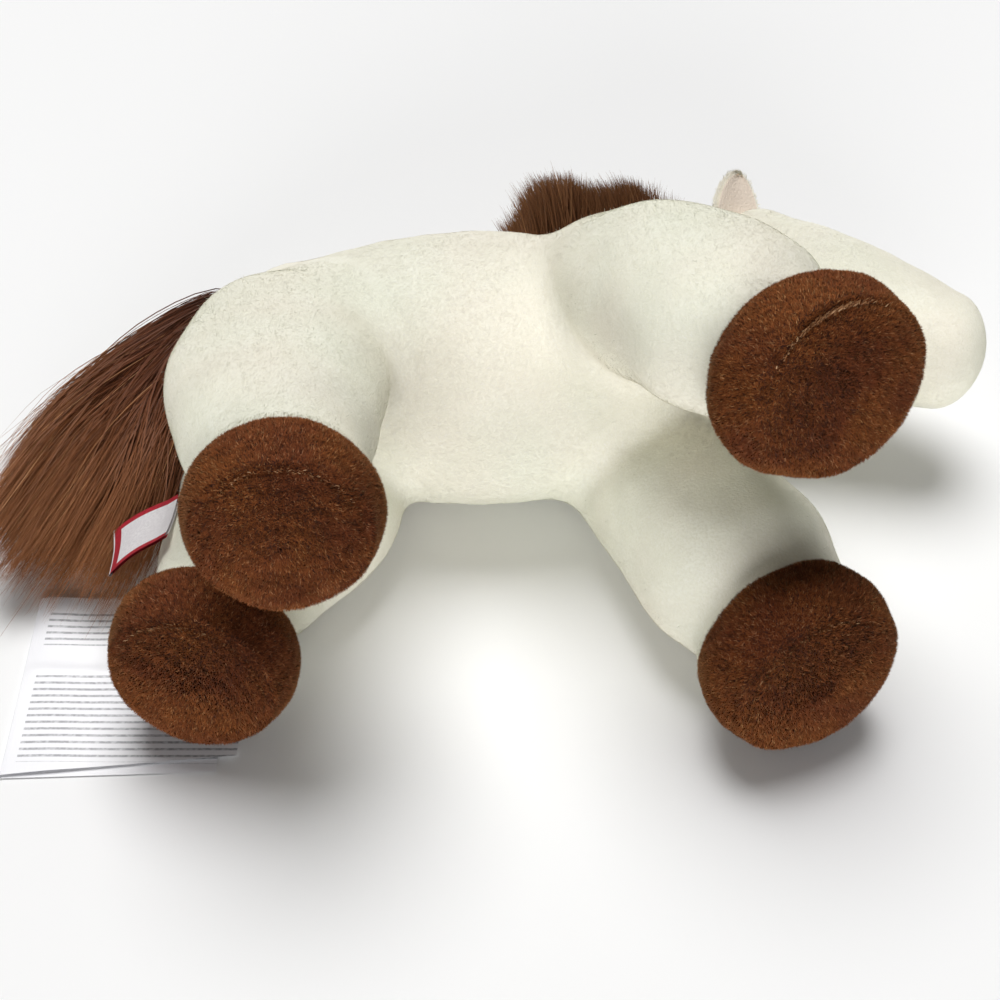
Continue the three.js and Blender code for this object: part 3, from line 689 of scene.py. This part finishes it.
for leg in legs:
    points, faces, normals, near = limb_skin([leg.form])
    distance = (points - leg.hinge) @ leg.direction
    keep = (distance[faces] < leg.ankle + 1.6).all(axis=1)
    points, faces, normals, near, distance = used_only(points, faces[keep], normals, near, distance)
    past = np.maximum(distance - leg.ankle, 0)
    points = points - leg.direction * past[:, None]
    tuck = ease((distance - leg.ankle + 2.5) / 2.5)
    points = points - normals * (1.4 * tuck)[:, None]
    points[:, 2] = np.maximum(points[:, 2], 0.4 + leg.floor * ease((distance - 55) / 10))
    skin = put(f"{leg.name}_skin", points, faces, PALE_SKIN)
    weight = ease((COLLAR + 1 - near) / 2) * ease((leg.ankle - 0.3 - distance) / 1.0)
    weight = clear_of_legs(weight, points, leg)
    r = np.random.default_rng(100 + leg.seed)
    roots, upright = scattered(points, faces, normals, PILE_DENSITY, weight, r)
    comb = np.tile(leg.direction + np.array([-0.25, 0, 0]), (len(roots), 1))
    pile = pale_pile(f"{leg.name}_pile", roots, upright, comb, 40 + leg.seed, leg.floor + 0.1)
    solids = f"{leg.name}_sleeve", f"{leg.name}_stuffing"
    dress_limb(skin, pile, f"{leg.name}_leg", leg.at(2), leg.at(34), *solids)


def lathe_on(leg, profile, sides=96):
    """A round form about a leg's direction from [distance, radius] rows; it is closed at both ends"""
    profile = np.array(profile, float)
    along = leg.direction
    side = unit(np.cross(along, UP))
    across = np.cross(side, along)
    angles = np.linspace(0, 2 * math.pi, sides, endpoint=False)[:, None]
    wide, deep = leg.squash
    ring = side * np.cos(angles) * wide + across * np.sin(angles) * deep
    points = leg.hinge + along * profile[:, :1, None] + ring[None] * profile[:, 1:2, None]
    points = points.reshape(-1, 3)
    k, n = np.arange(sides), (np.arange(sides) + 1) % sides
    faces = [
        np.stack([row * sides + k, (row + 1) * sides + k, (row + 1) * sides + n, row * sides + n], 1)
        for row in range(len(profile) - 1)
    ]
    return points, np.concatenate(faces)


for leg in legs:
    rows = flow(leg.stations, 0.7)
    reach = (rows[:, :3] - leg.hinge) @ leg.direction
    girth = rows[:, 3] / np.interp(reach, [leg.ankle, leg.ankle + 3], [1, leg.squash[0]]) - SKIN_INSET
    s = np.arange(leg.ankle + 0.2, leg.rim, 0.7)
    radius = np.interp(s, reach, girth)
    sole_radius = SOLE_RADIUS - SKIN_INSET
    # The wall runs on over the edge of the round end, to its seam with the sole
    turn = np.linspace(0, 0.42, 9)[1:]
    s = np.r_[s, leg.rim + 5.9 * np.sin(turn) ** 1.1]
    radius = np.r_[radius, sole_radius * np.cos(turn)]
    seam = s[-1]
    edge = 1.3 * ease((leg.ankle + 2.0 - s) / 2.0) + 0.9 * ease((s - seam + 1.2) / 1.2)
    wall = [[s[0] + 0.6, 2.0], [s[0] + 0.3, radius[0] * 0.6], *zip(s, radius - edge)]
    wall += [[seam, radius[-1] * 0.6], [seam - 0.3, 2.0]]
    dome = np.linspace(0.43, math.pi / 2, 24)[:-1]
    sole = [[seam - 0.1, 2.0], [seam, radius[-1] * 0.6]]
    for a in dome:
        drawn_in = 0.9 * float(ease(1 - (a - 0.43) / 0.14))
        sole.append([leg.rim + 0.2 + 5.8 * math.sin(a) ** 1.1, sole_radius * math.cos(a) - drawn_in])
    sole += [[leg.rim + 6.0, 0.4]]
    for part, profile, comb_towards in (("hoof", wall, -1.0), ("sole", sole, 0.0)):
        points, faces = lathe_on(leg, profile)
        points = bulged(points, faces, 60 + leg.seed, 0.35, 16)
        points[:, 2] = np.maximum(points[:, 2], 0.4 + leg.floor)
        normals = normals_of(points, faces)
        distance = (points - leg.hinge) @ leg.direction
        skin = put(f"{leg.name}_{part}_skin", points, faces, BROWN_SKIN)
        off_axis = np.linalg.norm(points - leg.hinge - np.outer(distance, leg.direction), axis=1)
        weight = (off_axis > SHANK - 4.5 if part == "hoof" else distance > seam + 0.1).astype(float)
        r = np.random.default_rng(200 + leg.seed)
        roots, upright = scattered(points, faces, normals, HOOF_DENSITY, weight, r)
        outward = roots - leg.at(leg.rim)
        comb = outward * 0.3 + np.array([0.2, 0.3, -0.2]) + leg.direction * comb_towards * 6
        pile = blades(
            f"{leg.name}_{part}_pile", roots, upright, comb, *HOOF_BLADE, BROWN_PILE, 70 + leg.seed,
            leg.floor + 0.1, tuft=1.2, wild=1.2, spread=14, soft=1.2, roll=0.35,
        )
        for piece in (skin, pile):
            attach(piece, f"{leg.name}_leg")
        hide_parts(f"{leg.name}_{part}")
    # Short runs of pale fibre lie in the upper part of the seam round the sole: the seam where the pile
    # parts is real, their pale colour a painted highlight
    r = np.random.default_rng(240 + leg.seed)
    side = unit(np.cross(leg.direction, UP))
    across = np.cross(side, leg.direction)
    count, middle, scatter = (420, 80, 17) if leg.name == "front_right" else (90, 90, 30)
    centre = np.radians(np.clip(r.normal(0, scatter, count), -75, 75) + middle)
    span = r.uniform(-0.02, 0.02, count)
    angles = centre[:, None] + span[:, None] * np.linspace(-1, 1, 6)
    out = (radius[-1] - 0.2 + r.uniform(-0.3, 0.5, (count, 1)) + np.linspace(0, 0.8, 6)[None])[..., None]
    wide, deep = leg.squash
    drop = r.normal(0, 0.35, (count, 1, 1)) + np.linspace(0, 0.7, 6)[:, None]
    ring = side * np.cos(angles)[..., None] * wide + across * np.sin(angles)[..., None] * deep
    paths = leg.at(seam + 0.5) + leg.direction * drop + out * ring
    widths = r.uniform(0.14, 0.26, count)
    thread = strands(f"{leg.name}_seam_thread", paths, widths, SEAM_HIGHLIGHT_THREAD, 250 + leg.seed)
    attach(thread, f"{leg.name}_leg")

# Head

neck_hinge = np.array([60.0, 16.0, AXIS_Z])
neck_direction, face_direction = bearing(25), bearing(-25)
skull = neck_hinge + 26 * neck_direction


def on_face(distance):
    return skull + face_direction * distance


neck_form = tube(
    [
        [*(neck_hinge - 4 * neck_direction), 18, 18],
        [*(neck_hinge + 13 * neck_direction), 24, 22.8],
        [*skull, 24, 24],
    ],
    17,
    8,
)
skull_form = tube(
    [[*skull, 27, 27], [*on_face(21.5) + UP * 1.3, 22.8, 23.2], [*on_face(43) + UP * 1.1, 17.4, 17.6]],
    25,
    13.2,
)
poll = skull + bearing(120) * 17.5
ridge = UP * 10 + bearing(30)
poll_form = tube([[*(poll - ridge), 13, 13], [*poll, 14, 14], [*(poll + ridge), 13, 13]], 13, 13)
head_parts = [(bulged(p, f, 31, 0.4), f) for p, f in (neck_form, skull_form, poll_form)]
points, faces, normals, near = limb_skin(head_parts, 9.0)
points[:, 2] = np.maximum(points[:, 2], 0.4)
head_skin = put("head_skin", points, faces, PALE_SKIN)
weight = clear_of_legs(ease((COLLAR + 1 - near) / 2), points)
roots, upright = scattered(points, faces, normals, PILE_DENSITY, weight, np.random.default_rng(300))
comb = np.where((((roots - skull) @ face_direction) > -5)[:, None], -face_direction, -neck_direction)
head_pile = pale_pile("head_pile", roots, upright, comb, 301)
start, end = neck_hinge - 8 * neck_direction, neck_hinge + 10 * neck_direction
solids = "head_left_panel", "head_right_panel", "head_gusset", "head_stuffing"
dress_limb(head_skin, head_pile, "head", start, end, *solids)

# Eyes: low domes where a ray from inside the head meets its skin
EYE_RADIUS, EYE_RISE = 4.2, 2.4
head_tree = BVHTree.FromPolygons(points.tolist(), faces.tolist())
for node in ("left_eye", "right_eye"):
    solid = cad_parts[node]
    corners = np.array([solid.matrix_world @ v.co for v in solid.data.vertices]) / MM
    middle = (corners.min(axis=0) + corners.max(axis=0)) / 2
    foot = skull + face_direction * ((middle - skull) @ face_direction)
    spot, outward, _, _ = head_tree.ray_cast(Vector(foot), Vector(middle - foot).normalized())
    spot, outward = np.array(spot), unit(middle - foot)
    side = unit(np.cross(outward, UP + 0.1 * face_direction))
    basis = np.stack([side, np.cross(outward, side), outward])
    stations = [[x, 0, 0, EYE_RADIUS, EYE_RADIUS] for x in (-0.01, 0, 0.01)]
    ball, ball_faces = tube(stations, EYE_RISE, EYE_RISE, 48, 0)
    eye = put(f"{node}_dome", ball[:, [1, 2, 0]] @ basis + spot, ball_faces, EYE)
    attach(eye, "head")
    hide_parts(node)
for node in ("left_eye_washer", "right_eye_washer"):
    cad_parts[node].data.materials.clear()
    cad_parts[node].data.materials.append(WASHER)

# The trunk's pile leaves out what the skins of the limbs and the neck hide
covered = np.zeros(len(trunk_points))
for shell in (*(leg.shell for leg in legs), Shell(head_parts)):
    covered = np.maximum(covered, ease((COLLAR - 1.5 - shell.distance(trunk_points)) / 1.5))
trunk_normals = normals_of(trunk_points, trunk_faces)
trunk_points[:, 2] = np.maximum(trunk_points[:, 2], 0.4)
trunk_skin = put("trunk_skin", trunk_points, trunk_faces, PALE_SKIN)
roots, upright = scattered(
    trunk_points, trunk_faces, trunk_normals, PILE_DENSITY, 1 - covered, np.random.default_rng(400)
)
trunk_pile = pale_pile("trunk_pile", roots, upright, np.tile(COMB_BACK, (len(roots), 1)), 401)
for piece in (trunk_skin, trunk_pile):
    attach(piece, "trunk")
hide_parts("left_side_panel", "right_side_panel", "belly_panel", "trunk_stuffing")

# Ears

EAR_LENGTH, EAR_HALF = 23.0, 8.9
EAR_BLADE = (1.4, 0.20, 76)


def leaf(height, half, rise, bow, thick, steps=26, across=18):
    """A cupped leaf with a rounded tip, in its own frame: [across, tall, facing], as a closed form"""
    t = np.sin(np.linspace(0, 1.53, steps))[:, None]
    wide = half * np.sqrt(np.clip(1 - t**2.4, 0, 1)) * (0.86 + 0.3 * t * (1 - t) * 2)
    u = np.linspace(-1, 1, across)[None]
    x = wide * u
    y = rise + (height - rise) * t + 0 * u
    cup = bow * (u**2) * (1 - 0.5 * t) - 1.5 * t**2
    half_thick = thick / 2 * (1 - u**4) * np.sqrt(1 - 0.98 * t**6)
    front = np.stack([x, y, cup + half_thick], -1)
    back = np.stack([x, y, cup - half_thick], -1)
    points = np.concatenate([front.reshape(-1, 3), back.reshape(-1, 3)])
    quad = sheet_faces(steps, across)
    half_count = steps * across
    faces = [quad, quad[:, ::-1] + half_count]
    up, along = np.arange(steps - 1) * across, np.arange(across - 1)
    last = (steps - 1) * across
    edges = ((up, across, 1), (up + across - 1, across, -1), (along, 1, 1), (along + last, 1, -1))
    for b, step, turn in edges:
        side = np.stack([b, b + step, b + step + half_count, b + half_count], 1)
        faces.append(side[:, ::turn])
    return points, np.concatenate(faces)


for name, side in (("left", -1), ("right", 1)):
    spread, high = math.radians(27), math.radians(20)
    outward = bearing(128) * math.cos(spread) + UP * side * math.sin(spread)
    root = skull + outward * 27.3 - np.array([1.6, 0, 0])
    tall = bearing(80) * math.cos(high) + UP * side * math.sin(high)
    facing = face_direction + UP * side * 1.6
    facing = unit(facing - tall * (facing @ tall))
    across = np.cross(tall, facing)
    basis = np.stack([across, tall, facing])
    outer, outer_faces = leaf(EAR_LENGTH, EAR_HALF, rise=-4.5, bow=2.2, thick=1.5)
    inner, inner_faces = leaf(EAR_LENGTH - 1.6, EAR_HALF - 1.5, rise=-4.0, bow=1.9, thick=0.7)
    inner[:, 2] += 1.15
    placed = outer @ basis + root
    leaf_skin = put(f"{name}_ear_skin", placed, outer_faces, PALE_SKIN)
    lining = put(f"{name}_ear_inner", inner @ basis + root, inner_faces, LINING)
    normals = normals_of(placed, outer_faces)
    behind = outer[:, 2] < (2.2 * (outer[:, 0] / EAR_HALF) ** 2) + 0.2
    rim = np.abs(outer[:, 0]) > EAR_HALF * 0.8
    weight = (behind | rim) * 1.0
    r = np.random.default_rng(310 + side)
    roots, upright = scattered(placed, outer_faces, normals, PILE_DENSITY * 1.3, weight, r)
    comb = np.tile(tall, (len(roots), 1))
    ear_pile = pale_pile(f"{name}_ear_pile", roots, upright, comb, 320 + side, blade=EAR_BLADE)
    for piece in (leaf_skin, lining, ear_pile):
        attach(piece, f"{name}_ear_leaf")
    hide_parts(f"{name}_ear")
    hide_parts(f"{name}_ear_lining")

# Tail and mane


FLATTENED = np.array([1, 1, 0.5])


def evened(guide, count):
    """A smooth path through a guide's points, with its points at even distances"""
    rows = flow(guide, 1.0)
    reach = np.r_[0, np.cumsum(np.linalg.norm(np.diff(rows[:, :3], axis=0), axis=1))]
    s = np.linspace(0, reach[-1], count)
    return np.stack([np.interp(s, reach, rows[:, i]) for i in range(rows.shape[1])], 1)


def between(guides, v, t):
    """Points of a fan of guides, at a place v across the fan and t along it"""
    count, steps, _ = guides.shape
    g = np.clip(v, 0, 1) * (count - 1)
    k = np.clip(t, 0, 1) * (steps - 1)
    g0, k0 = np.minimum(g.astype(int), count - 2), np.minimum(k.astype(int), steps - 2)
    a, b = (g - g0)[..., None], (k - k0)[..., None]
    near = guides[g0, k0] * (1 - b) + guides[g0, k0 + 1] * b
    far = guides[g0 + 1, k0] * (1 - b) + guides[g0 + 1, k0 + 1] * b
    end = guides[g0, -1] - guides[g0, -2] + (guides[g0 + 1, -1] - guides[g0 + 1, -2])
    beyond = np.maximum(t - 1, 0)[..., None] * (steps - 1) / 2
    return near * (1 - a) + far * a + end * beyond


def fan(name, guides, thick, count, steps, width, material, seed, tips=(0.7, 1.08), clumps=70):
    """Strands that follow a fan of guides and gather in clumps towards their tips"""
    r = np.random.default_rng(seed)
    place = np.stack([r.uniform(0, 1, clumps), r.uniform(-1, 1, clumps)], 1)
    own = r.integers(0, clumps, count)
    v0, h0 = r.uniform(0, 1, count), r.uniform(-1, 1, count)
    v0 = 0.5 * v0 + 0.5 * np.clip(place[own, 0] + r.normal(0, 0.12, count), 0, 1)
    v1 = place[own, 0] + r.normal(0, 0.035, count)
    h1 = place[own, 1] + r.normal(0, 0.25, count)
    reach = r.uniform(*tips, count) * r.uniform(0.9, 1.04, clumps)[own]
    share = np.linspace(0, 1, steps)[None]
    gather = ease(share * 1.15)
    v = v0[:, None] * (1 - gather) + v1[:, None] * gather
    h = h0[:, None] * (1 - gather) + h1[:, None] * gather
    t = share * reach[:, None]
    paths = between(guides, v, t)
    paths[..., 2] += h * np.interp(t, np.linspace(0, 1, len(thick)), thick)
    sway = r.normal(size=(clumps, 3))[own] * 1.6 + r.normal(size=(count, 3)) * 1.0
    wisp = (r.uniform(size=count) < 0.06)[:, None] * r.normal(size=(count, 3)) * 4
    paths += (sway + wisp)[:, None] * (share**2)[..., None] * FLATTENED
    for size, turns, group in ((1.1, 6.0, r.integers(0, clumps * 2, count)), (0.35, 13.0, np.arange(count))):
        most = group.max() + 1
        phase = r.uniform(0, 2 * math.pi, most)[group][:, None]
        phase = phase + share * turns * r.uniform(0.7, 1.3, most)[group][:, None]
        wave = size * (np.sin(phase) * share)[..., None]
        paths += wave * r.normal(size=(most, 3))[group][:, None] * FLATTENED
    return strands(name, paths, width * r.uniform(0.6, 1.3, count), material, seed + 1)


tail_guides = np.stack([
    evened(guide, 40)
    for guide in (
        [(-63, 17, 39), (-74, 23, 41.5), (-98, 18, 36), (-118, 0, 28), (-134, -31, 20)],
        [(-64, 15, 38), (-75, 19, 40), (-98, 6, 33), (-116, -17, 26), (-134, -49, 17)],
        [(-65, 13, 36.5), (-76, 15, 37), (-93, -8, 30), (-106, -34, 21), (-119, -56, 11)],
        [(-66, 11, 35.5), (-77, 10, 34), (-82, -16, 30), (-88, -38, 22), (-99, -60, 6)],
    )
])
tail_thick = (5.5, 7.5, 7.0, 5.0)
tail_count = 13000
tail_hair = fan(
    "tail_hair", tail_guides, tail_thick, tail_count, 16, 0.28, TAIL_PILE, seed=500, tips=(0.84, 1.05)
)
# A dark core inside the tail's hair: painted shade in the depth of the tail
CORE_ACROSS, CORE_ALONG = 24, 30
v, t = np.meshgrid(np.linspace(0.03, 0.97, CORE_ACROSS), np.linspace(0, 0.8, CORE_ALONG), indexing="ij")
sheet_points = between(tail_guides, v, t)
swell = np.interp(t, np.linspace(0, 1, 4), tail_thick) * 0.55
swell *= np.sqrt(np.clip(1 - (2 * v - 1) ** 2, 0, 1))
swell *= np.sqrt(np.clip(1 - (t / 0.8) ** 6, 0, 1)) + 0.02
core_points = np.concatenate(
    [(sheet_points + sign * swell[..., None] * UP).reshape(-1, 3) for sign in (1, -1)]
)
upper = sheet_faces(CORE_ACROSS, CORE_ALONG)
lower = upper[:, ::-1] + CORE_ACROSS * CORE_ALONG
tail_shade_core = put("tail_shade_core", core_points, np.concatenate([upper, lower]), HAIR_SHADE_CORE)
for piece in (tail_hair, tail_shade_core):
    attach(piece, "tail_brush")
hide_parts("tail")


def crest_hair(name, roots, outward, heads, length, count, body, node, seed, lobes, girth=2.2, slant=0.35):
    """Long pile that stands on a line and falls over, with a length that rises and falls in lobes"""
    r = np.random.default_rng(seed)
    s = r.uniform(0, 1, count)
    x = np.linspace(0, 1, len(roots))
    base = np.stack([np.interp(s, x, roots[:, i]) for i in range(3)], 1)
    out = unit(np.stack([np.interp(s, x, outward[:, i]) for i in range(3)], 1))
    head = unit(np.stack([np.interp(s, x, heads[:, i]) for i in range(3)], 1))
    sideways = np.cross(out, head)
    base += sideways * r.normal(0, girth, (count, 1)) - out * 1.5
    size = length * np.interp(s, np.linspace(0, 1, len(lobes)), lobes)
    size = size * np.minimum(r.uniform(0.82, 1.12, count), 1.0)
    t = np.linspace(0, 1, 8)[None, :, None]
    lean = (slant + 0.14 * waves(base, 9, seed + 2) + r.normal(0, 0.07, count))[:, None, None]
    spread = sideways[:, None] * r.normal(0, 0.12, (count, 1, 1)) * t
    rise = out[:, None] * (t - 0.18 * t**2) + head[:, None] * lean * t**1.6
    paths = base[:, None] + size[:, None, None] * (rise + spread)
    hair = strands(name, paths, 0.28 * r.uniform(0.6, 1.3, count), MANE_PILE, seed + 1)
    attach(hair, body)
    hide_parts(node)


# The mane on the crest of the neck, the poll hair and the forelock
lean = math.radians(45)
mane_out = np.array([0.0, math.cos(lean), math.sin(lean)])
line = np.linspace(0, 1, 13)[:, None]
mane_roots = np.array([6.5, 35.0, AXIS_Z]) + line * np.array([46.0, -1.0, 0])
crest_hair(
    "mane_hair", mane_roots,
    outward=np.tile(mane_out, (13, 1)),
    heads=np.tile([-0.35, 0.0, 0.1], (13, 1)),
    length=42.6, count=15000, body="trunk", node="mane", seed=520,
    lobes=(0.57, 0.73, 0.85, 0.98, 0.99, 0.90, 0.81, 0.88, 0.94, 0.94, 0.88, 0.80, 0.70),
    girth=3.6, slant=0.12,
)
arc = [bearing(a) for a in np.linspace(156, 134, 8)]
crest_hair(
    "poll_hair", np.array([skull + a * 28 + UP * 4 for a in arc]),
    outward=np.array([a + UP * 0.1 for a in arc]),
    heads=np.tile(UP, (8, 1)),
    length=19, count=1300, body="head", node="poll_mane", seed=540,
    lobes=(0.8, 1.0, 0.8),
)
brow = skull + bearing(103) * 29
crest_hair(
    "forelock_hair", brow + UP * np.linspace(-6, 6, 8)[:, None],
    outward=np.tile(bearing(103) * 0.45 + face_direction, (8, 1)),
    heads=np.tile(face_direction - bearing(65) * 0.5, (8, 1)),
    length=17, count=1600, body="head", node="forelock", seed=560,
    lobes=(0.7, 0.95, 1.0, 0.95, 0.7), girth=2.6,
)

# Floor

floor_graph = Graph("floor_surface", 0.9)
cloudy = floor_graph.noise(6.0)
floor_graph.colour(floor_graph.ramp(cloudy, (0.0, (0.925,) * 3), (1.0, (0.935,) * 3)))
FLOOR_HALF, FLOOR_DROP = 3000, -0.1
floor_corners = [[x, y, FLOOR_DROP] for x, y in ((-1, -1), (1, -1), (1, 1), (-1, 1))]
floor_corners = np.array(floor_corners) * [FLOOR_HALF, FLOOR_HALF, 1]
floor = put("floor", floor_corners, np.array([[0, 1, 2, 3]]), floor_graph.material)
floor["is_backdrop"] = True

# Labels

# The care label: white satin with plain ruled lines, folded once into two leaves
satin = Graph("satin_label", 0.42, Sheen_Weight=0.15)
across_label, down_label, _ = satin.node("SeparateXYZ", {"Vector": satin.place()}).outputs


def worked(kind, value, other):
    """One step of arithmetic in the satin"""
    return satin.node("Math", {0: value, 1: other}, operation=kind).outputs[0]


ruled = worked("FRACT", worked("DIVIDE", down_label, 0.0021), 0)
printed = worked("LESS_THAN", ruled, 0.34)
blocks = None
for low_edge, high_edge in ((-0.1065, -0.0790), (-0.0690, -0.0580)):
    above = worked("GREATER_THAN", down_label, low_edge)
    below = worked("LESS_THAN", down_label, high_edge)
    block = worked("MULTIPLY", above, below)
    blocks = block if blocks is None else worked("ADD", blocks, block)
printed = worked("MULTIPLY", printed, blocks)
printed = worked("MULTIPLY", printed, worked("GREATER_THAN", across_label, -0.1195))
worn = satin.ramp(satin.noise(900.0, 2.0), (0.3, (0.35, 0.35, 0.35)), (0.6, (0.75, 0.75, 0.75)))
white = satin.ramp(satin.noise(40.0, 2.0), (0.3, shade(244, 244, 248)), (0.7, shade(250, 250, 252)))
satin.colour(satin.mix(satin.mix(1.0, printed, worn, "MULTIPLY"), white, (*shade(120, 120, 126), 1)))
satin.bump(satin.noise(2600.0, 1.0, (1, 0.2, 1)), 0.00003)

turn = np.linspace(-math.pi / 2, math.pi / 2, 9)[1:-1]
rows = np.concatenate([
    [[x, 0.3, 1] for x in np.linspace(-70.0, LABEL_LEFT + 0.4, 40)],
    [[LABEL_LEFT + 0.4 - 0.38 * math.cos(a), 0.66 + 0.36 * math.sin(a), 1] for a in turn],
    [[x, 1.02, 0] for x in np.linspace(LABEL_LEFT + 0.4, LABEL_RIGHT, 48)],
])
x = rows[:, :1]
reach = (x - LABEL_LEFT) / (LABEL_RIGHT - LABEL_LEFT)
near_edge = LABEL_NEAR + np.where(rows[:, 2:] > 0, 2.2 * reach - 0.5, 6.0 * reach)
v = np.linspace(0, 1, 44)[None]
y = LABEL_FAR + (near_edge - LABEL_FAR) * v
x = np.broadcast_to(x, y.shape) + 0.5 * v * (1 - reach)
z = np.broadcast_to(rows[:, 1:2], y.shape).copy()
points = np.stack([x, y, z], -1).reshape(-1, 3)
upper = np.repeat(rows[:, 2] < 0.5, len(v[0]))
under_hoof = ease((np.hypot(points[:, 0] + 72, points[:, 1] + 96) - 24) / 12)
away = ease((points[:, 0] - LABEL_LEFT) / 4)
ripple = 0.22 * waves(points * [1, 1, 0], 24, 600) + 0.22
crease = 0.45 * np.exp(-(((points[:, 1] + 77.8 + 0.02 * (points[:, 0] + 95)) / 1.1) ** 2))
corner = 0.7 * ease(1 - np.hypot(points[:, 0] - LABEL_LEFT, points[:, 1] - LABEL_FAR) / 16)
points[:, 2] += np.where(upper, under_hoof * (away * (ripple + crease) + corner * (0.3 + 0.7 * away)), 0)
label = put("care_label_sheet", points, sheet_faces(len(rows), len(v[0])), satin.material)
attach(label, "trunk")
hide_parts("care_label")

# The side tag: a woven ribbon with a white centre and a red border, folded once, with a painted highlight in
# white along the fold
tag_red = skin_material("woven_red", (150, 16, 34), (196, 30, 50), 0.7, knit=0.0001)
tag_white = skin_material("woven_white", (214, 210, 212), (240, 238, 238), 0.7, knit=0.0001)
TAG_ROOT = np.array([-85.102, -56.815, 34.748])
tag_along = unit(np.array([-0.0767, -0.9945, 0.0711]))
droop = math.radians(38)
level = unit(np.cross(tag_along, UP))
tag_out = level * math.cos(droop) + np.cross(tag_along, level) * math.sin(droop)
tag_face = np.cross(tag_out, tag_along)
TAG_REACH, TAG_HALF, TAG_SEWN, TAG_BORDER = 21.0, 8.0, -3.5, 1.7
turn = np.linspace(math.pi / 2, -math.pi / 2, 9)[1:-1]
rows = np.concatenate([
    [[d, 0.34, 1] for d in np.linspace(TAG_SEWN, TAG_REACH - 0.4, 50)],
    [[TAG_REACH - 0.4 + 0.36 * math.cos(a), 0.34 * math.sin(a), 0] for a in turn],
    [[d, -0.34, -1] for d in np.linspace(TAG_REACH - 0.4, TAG_SEWN, 50)],
])
u = np.linspace(-TAG_HALF, TAG_HALF, 39)[None]
bow = 0.9 * np.sin(np.clip(rows[:, :1] / TAG_REACH, 0, 1) * math.pi) + 0.5 * (u / TAG_HALF) ** 2
out_share = np.clip(rows[:, :1] / TAG_REACH, 0, 1)
drawn_in = 2.7 * (u / TAG_HALF + 1) * out_share  # the lower corner is drawn in
widened = u * (1 + 0.1 * out_share) + 0.3 * np.maximum(u, 0) * out_share
points = (
    TAG_ROOT
    + (rows[:, :1] - drawn_in)[..., None] * tag_out
    + widened[..., None] * tag_along
    + (rows[:, 1:2] + bow)[..., None] * tag_face
).reshape(-1, 3)
faces = sheet_faces(len(rows), len(u[0]))
tag_ribbon = put("side_tag_ribbon", points, faces, tag_red)
tag_ribbon.data.materials.append(tag_white)
out_at = np.repeat(rows[:, 0], len(u[0]))[faces].mean(axis=1)
side_at = np.tile(u[0], len(rows))[faces].mean(axis=1)
centre = (np.abs(side_at) < TAG_HALF - TAG_BORDER) & (out_at < TAG_REACH - 0.4 - 2.0 * TAG_BORDER)
# The outer edge of the fold takes the white cloth: a painted highlight along the fold
folded = out_at > TAG_REACH - 0.75
tag_ribbon.data.polygons.foreach_set("material_index", (centre | folded).astype(np.int32))
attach(tag_ribbon, "tag")
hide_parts("side_tag")

# The box round all that shows, the floor left out
low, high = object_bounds()
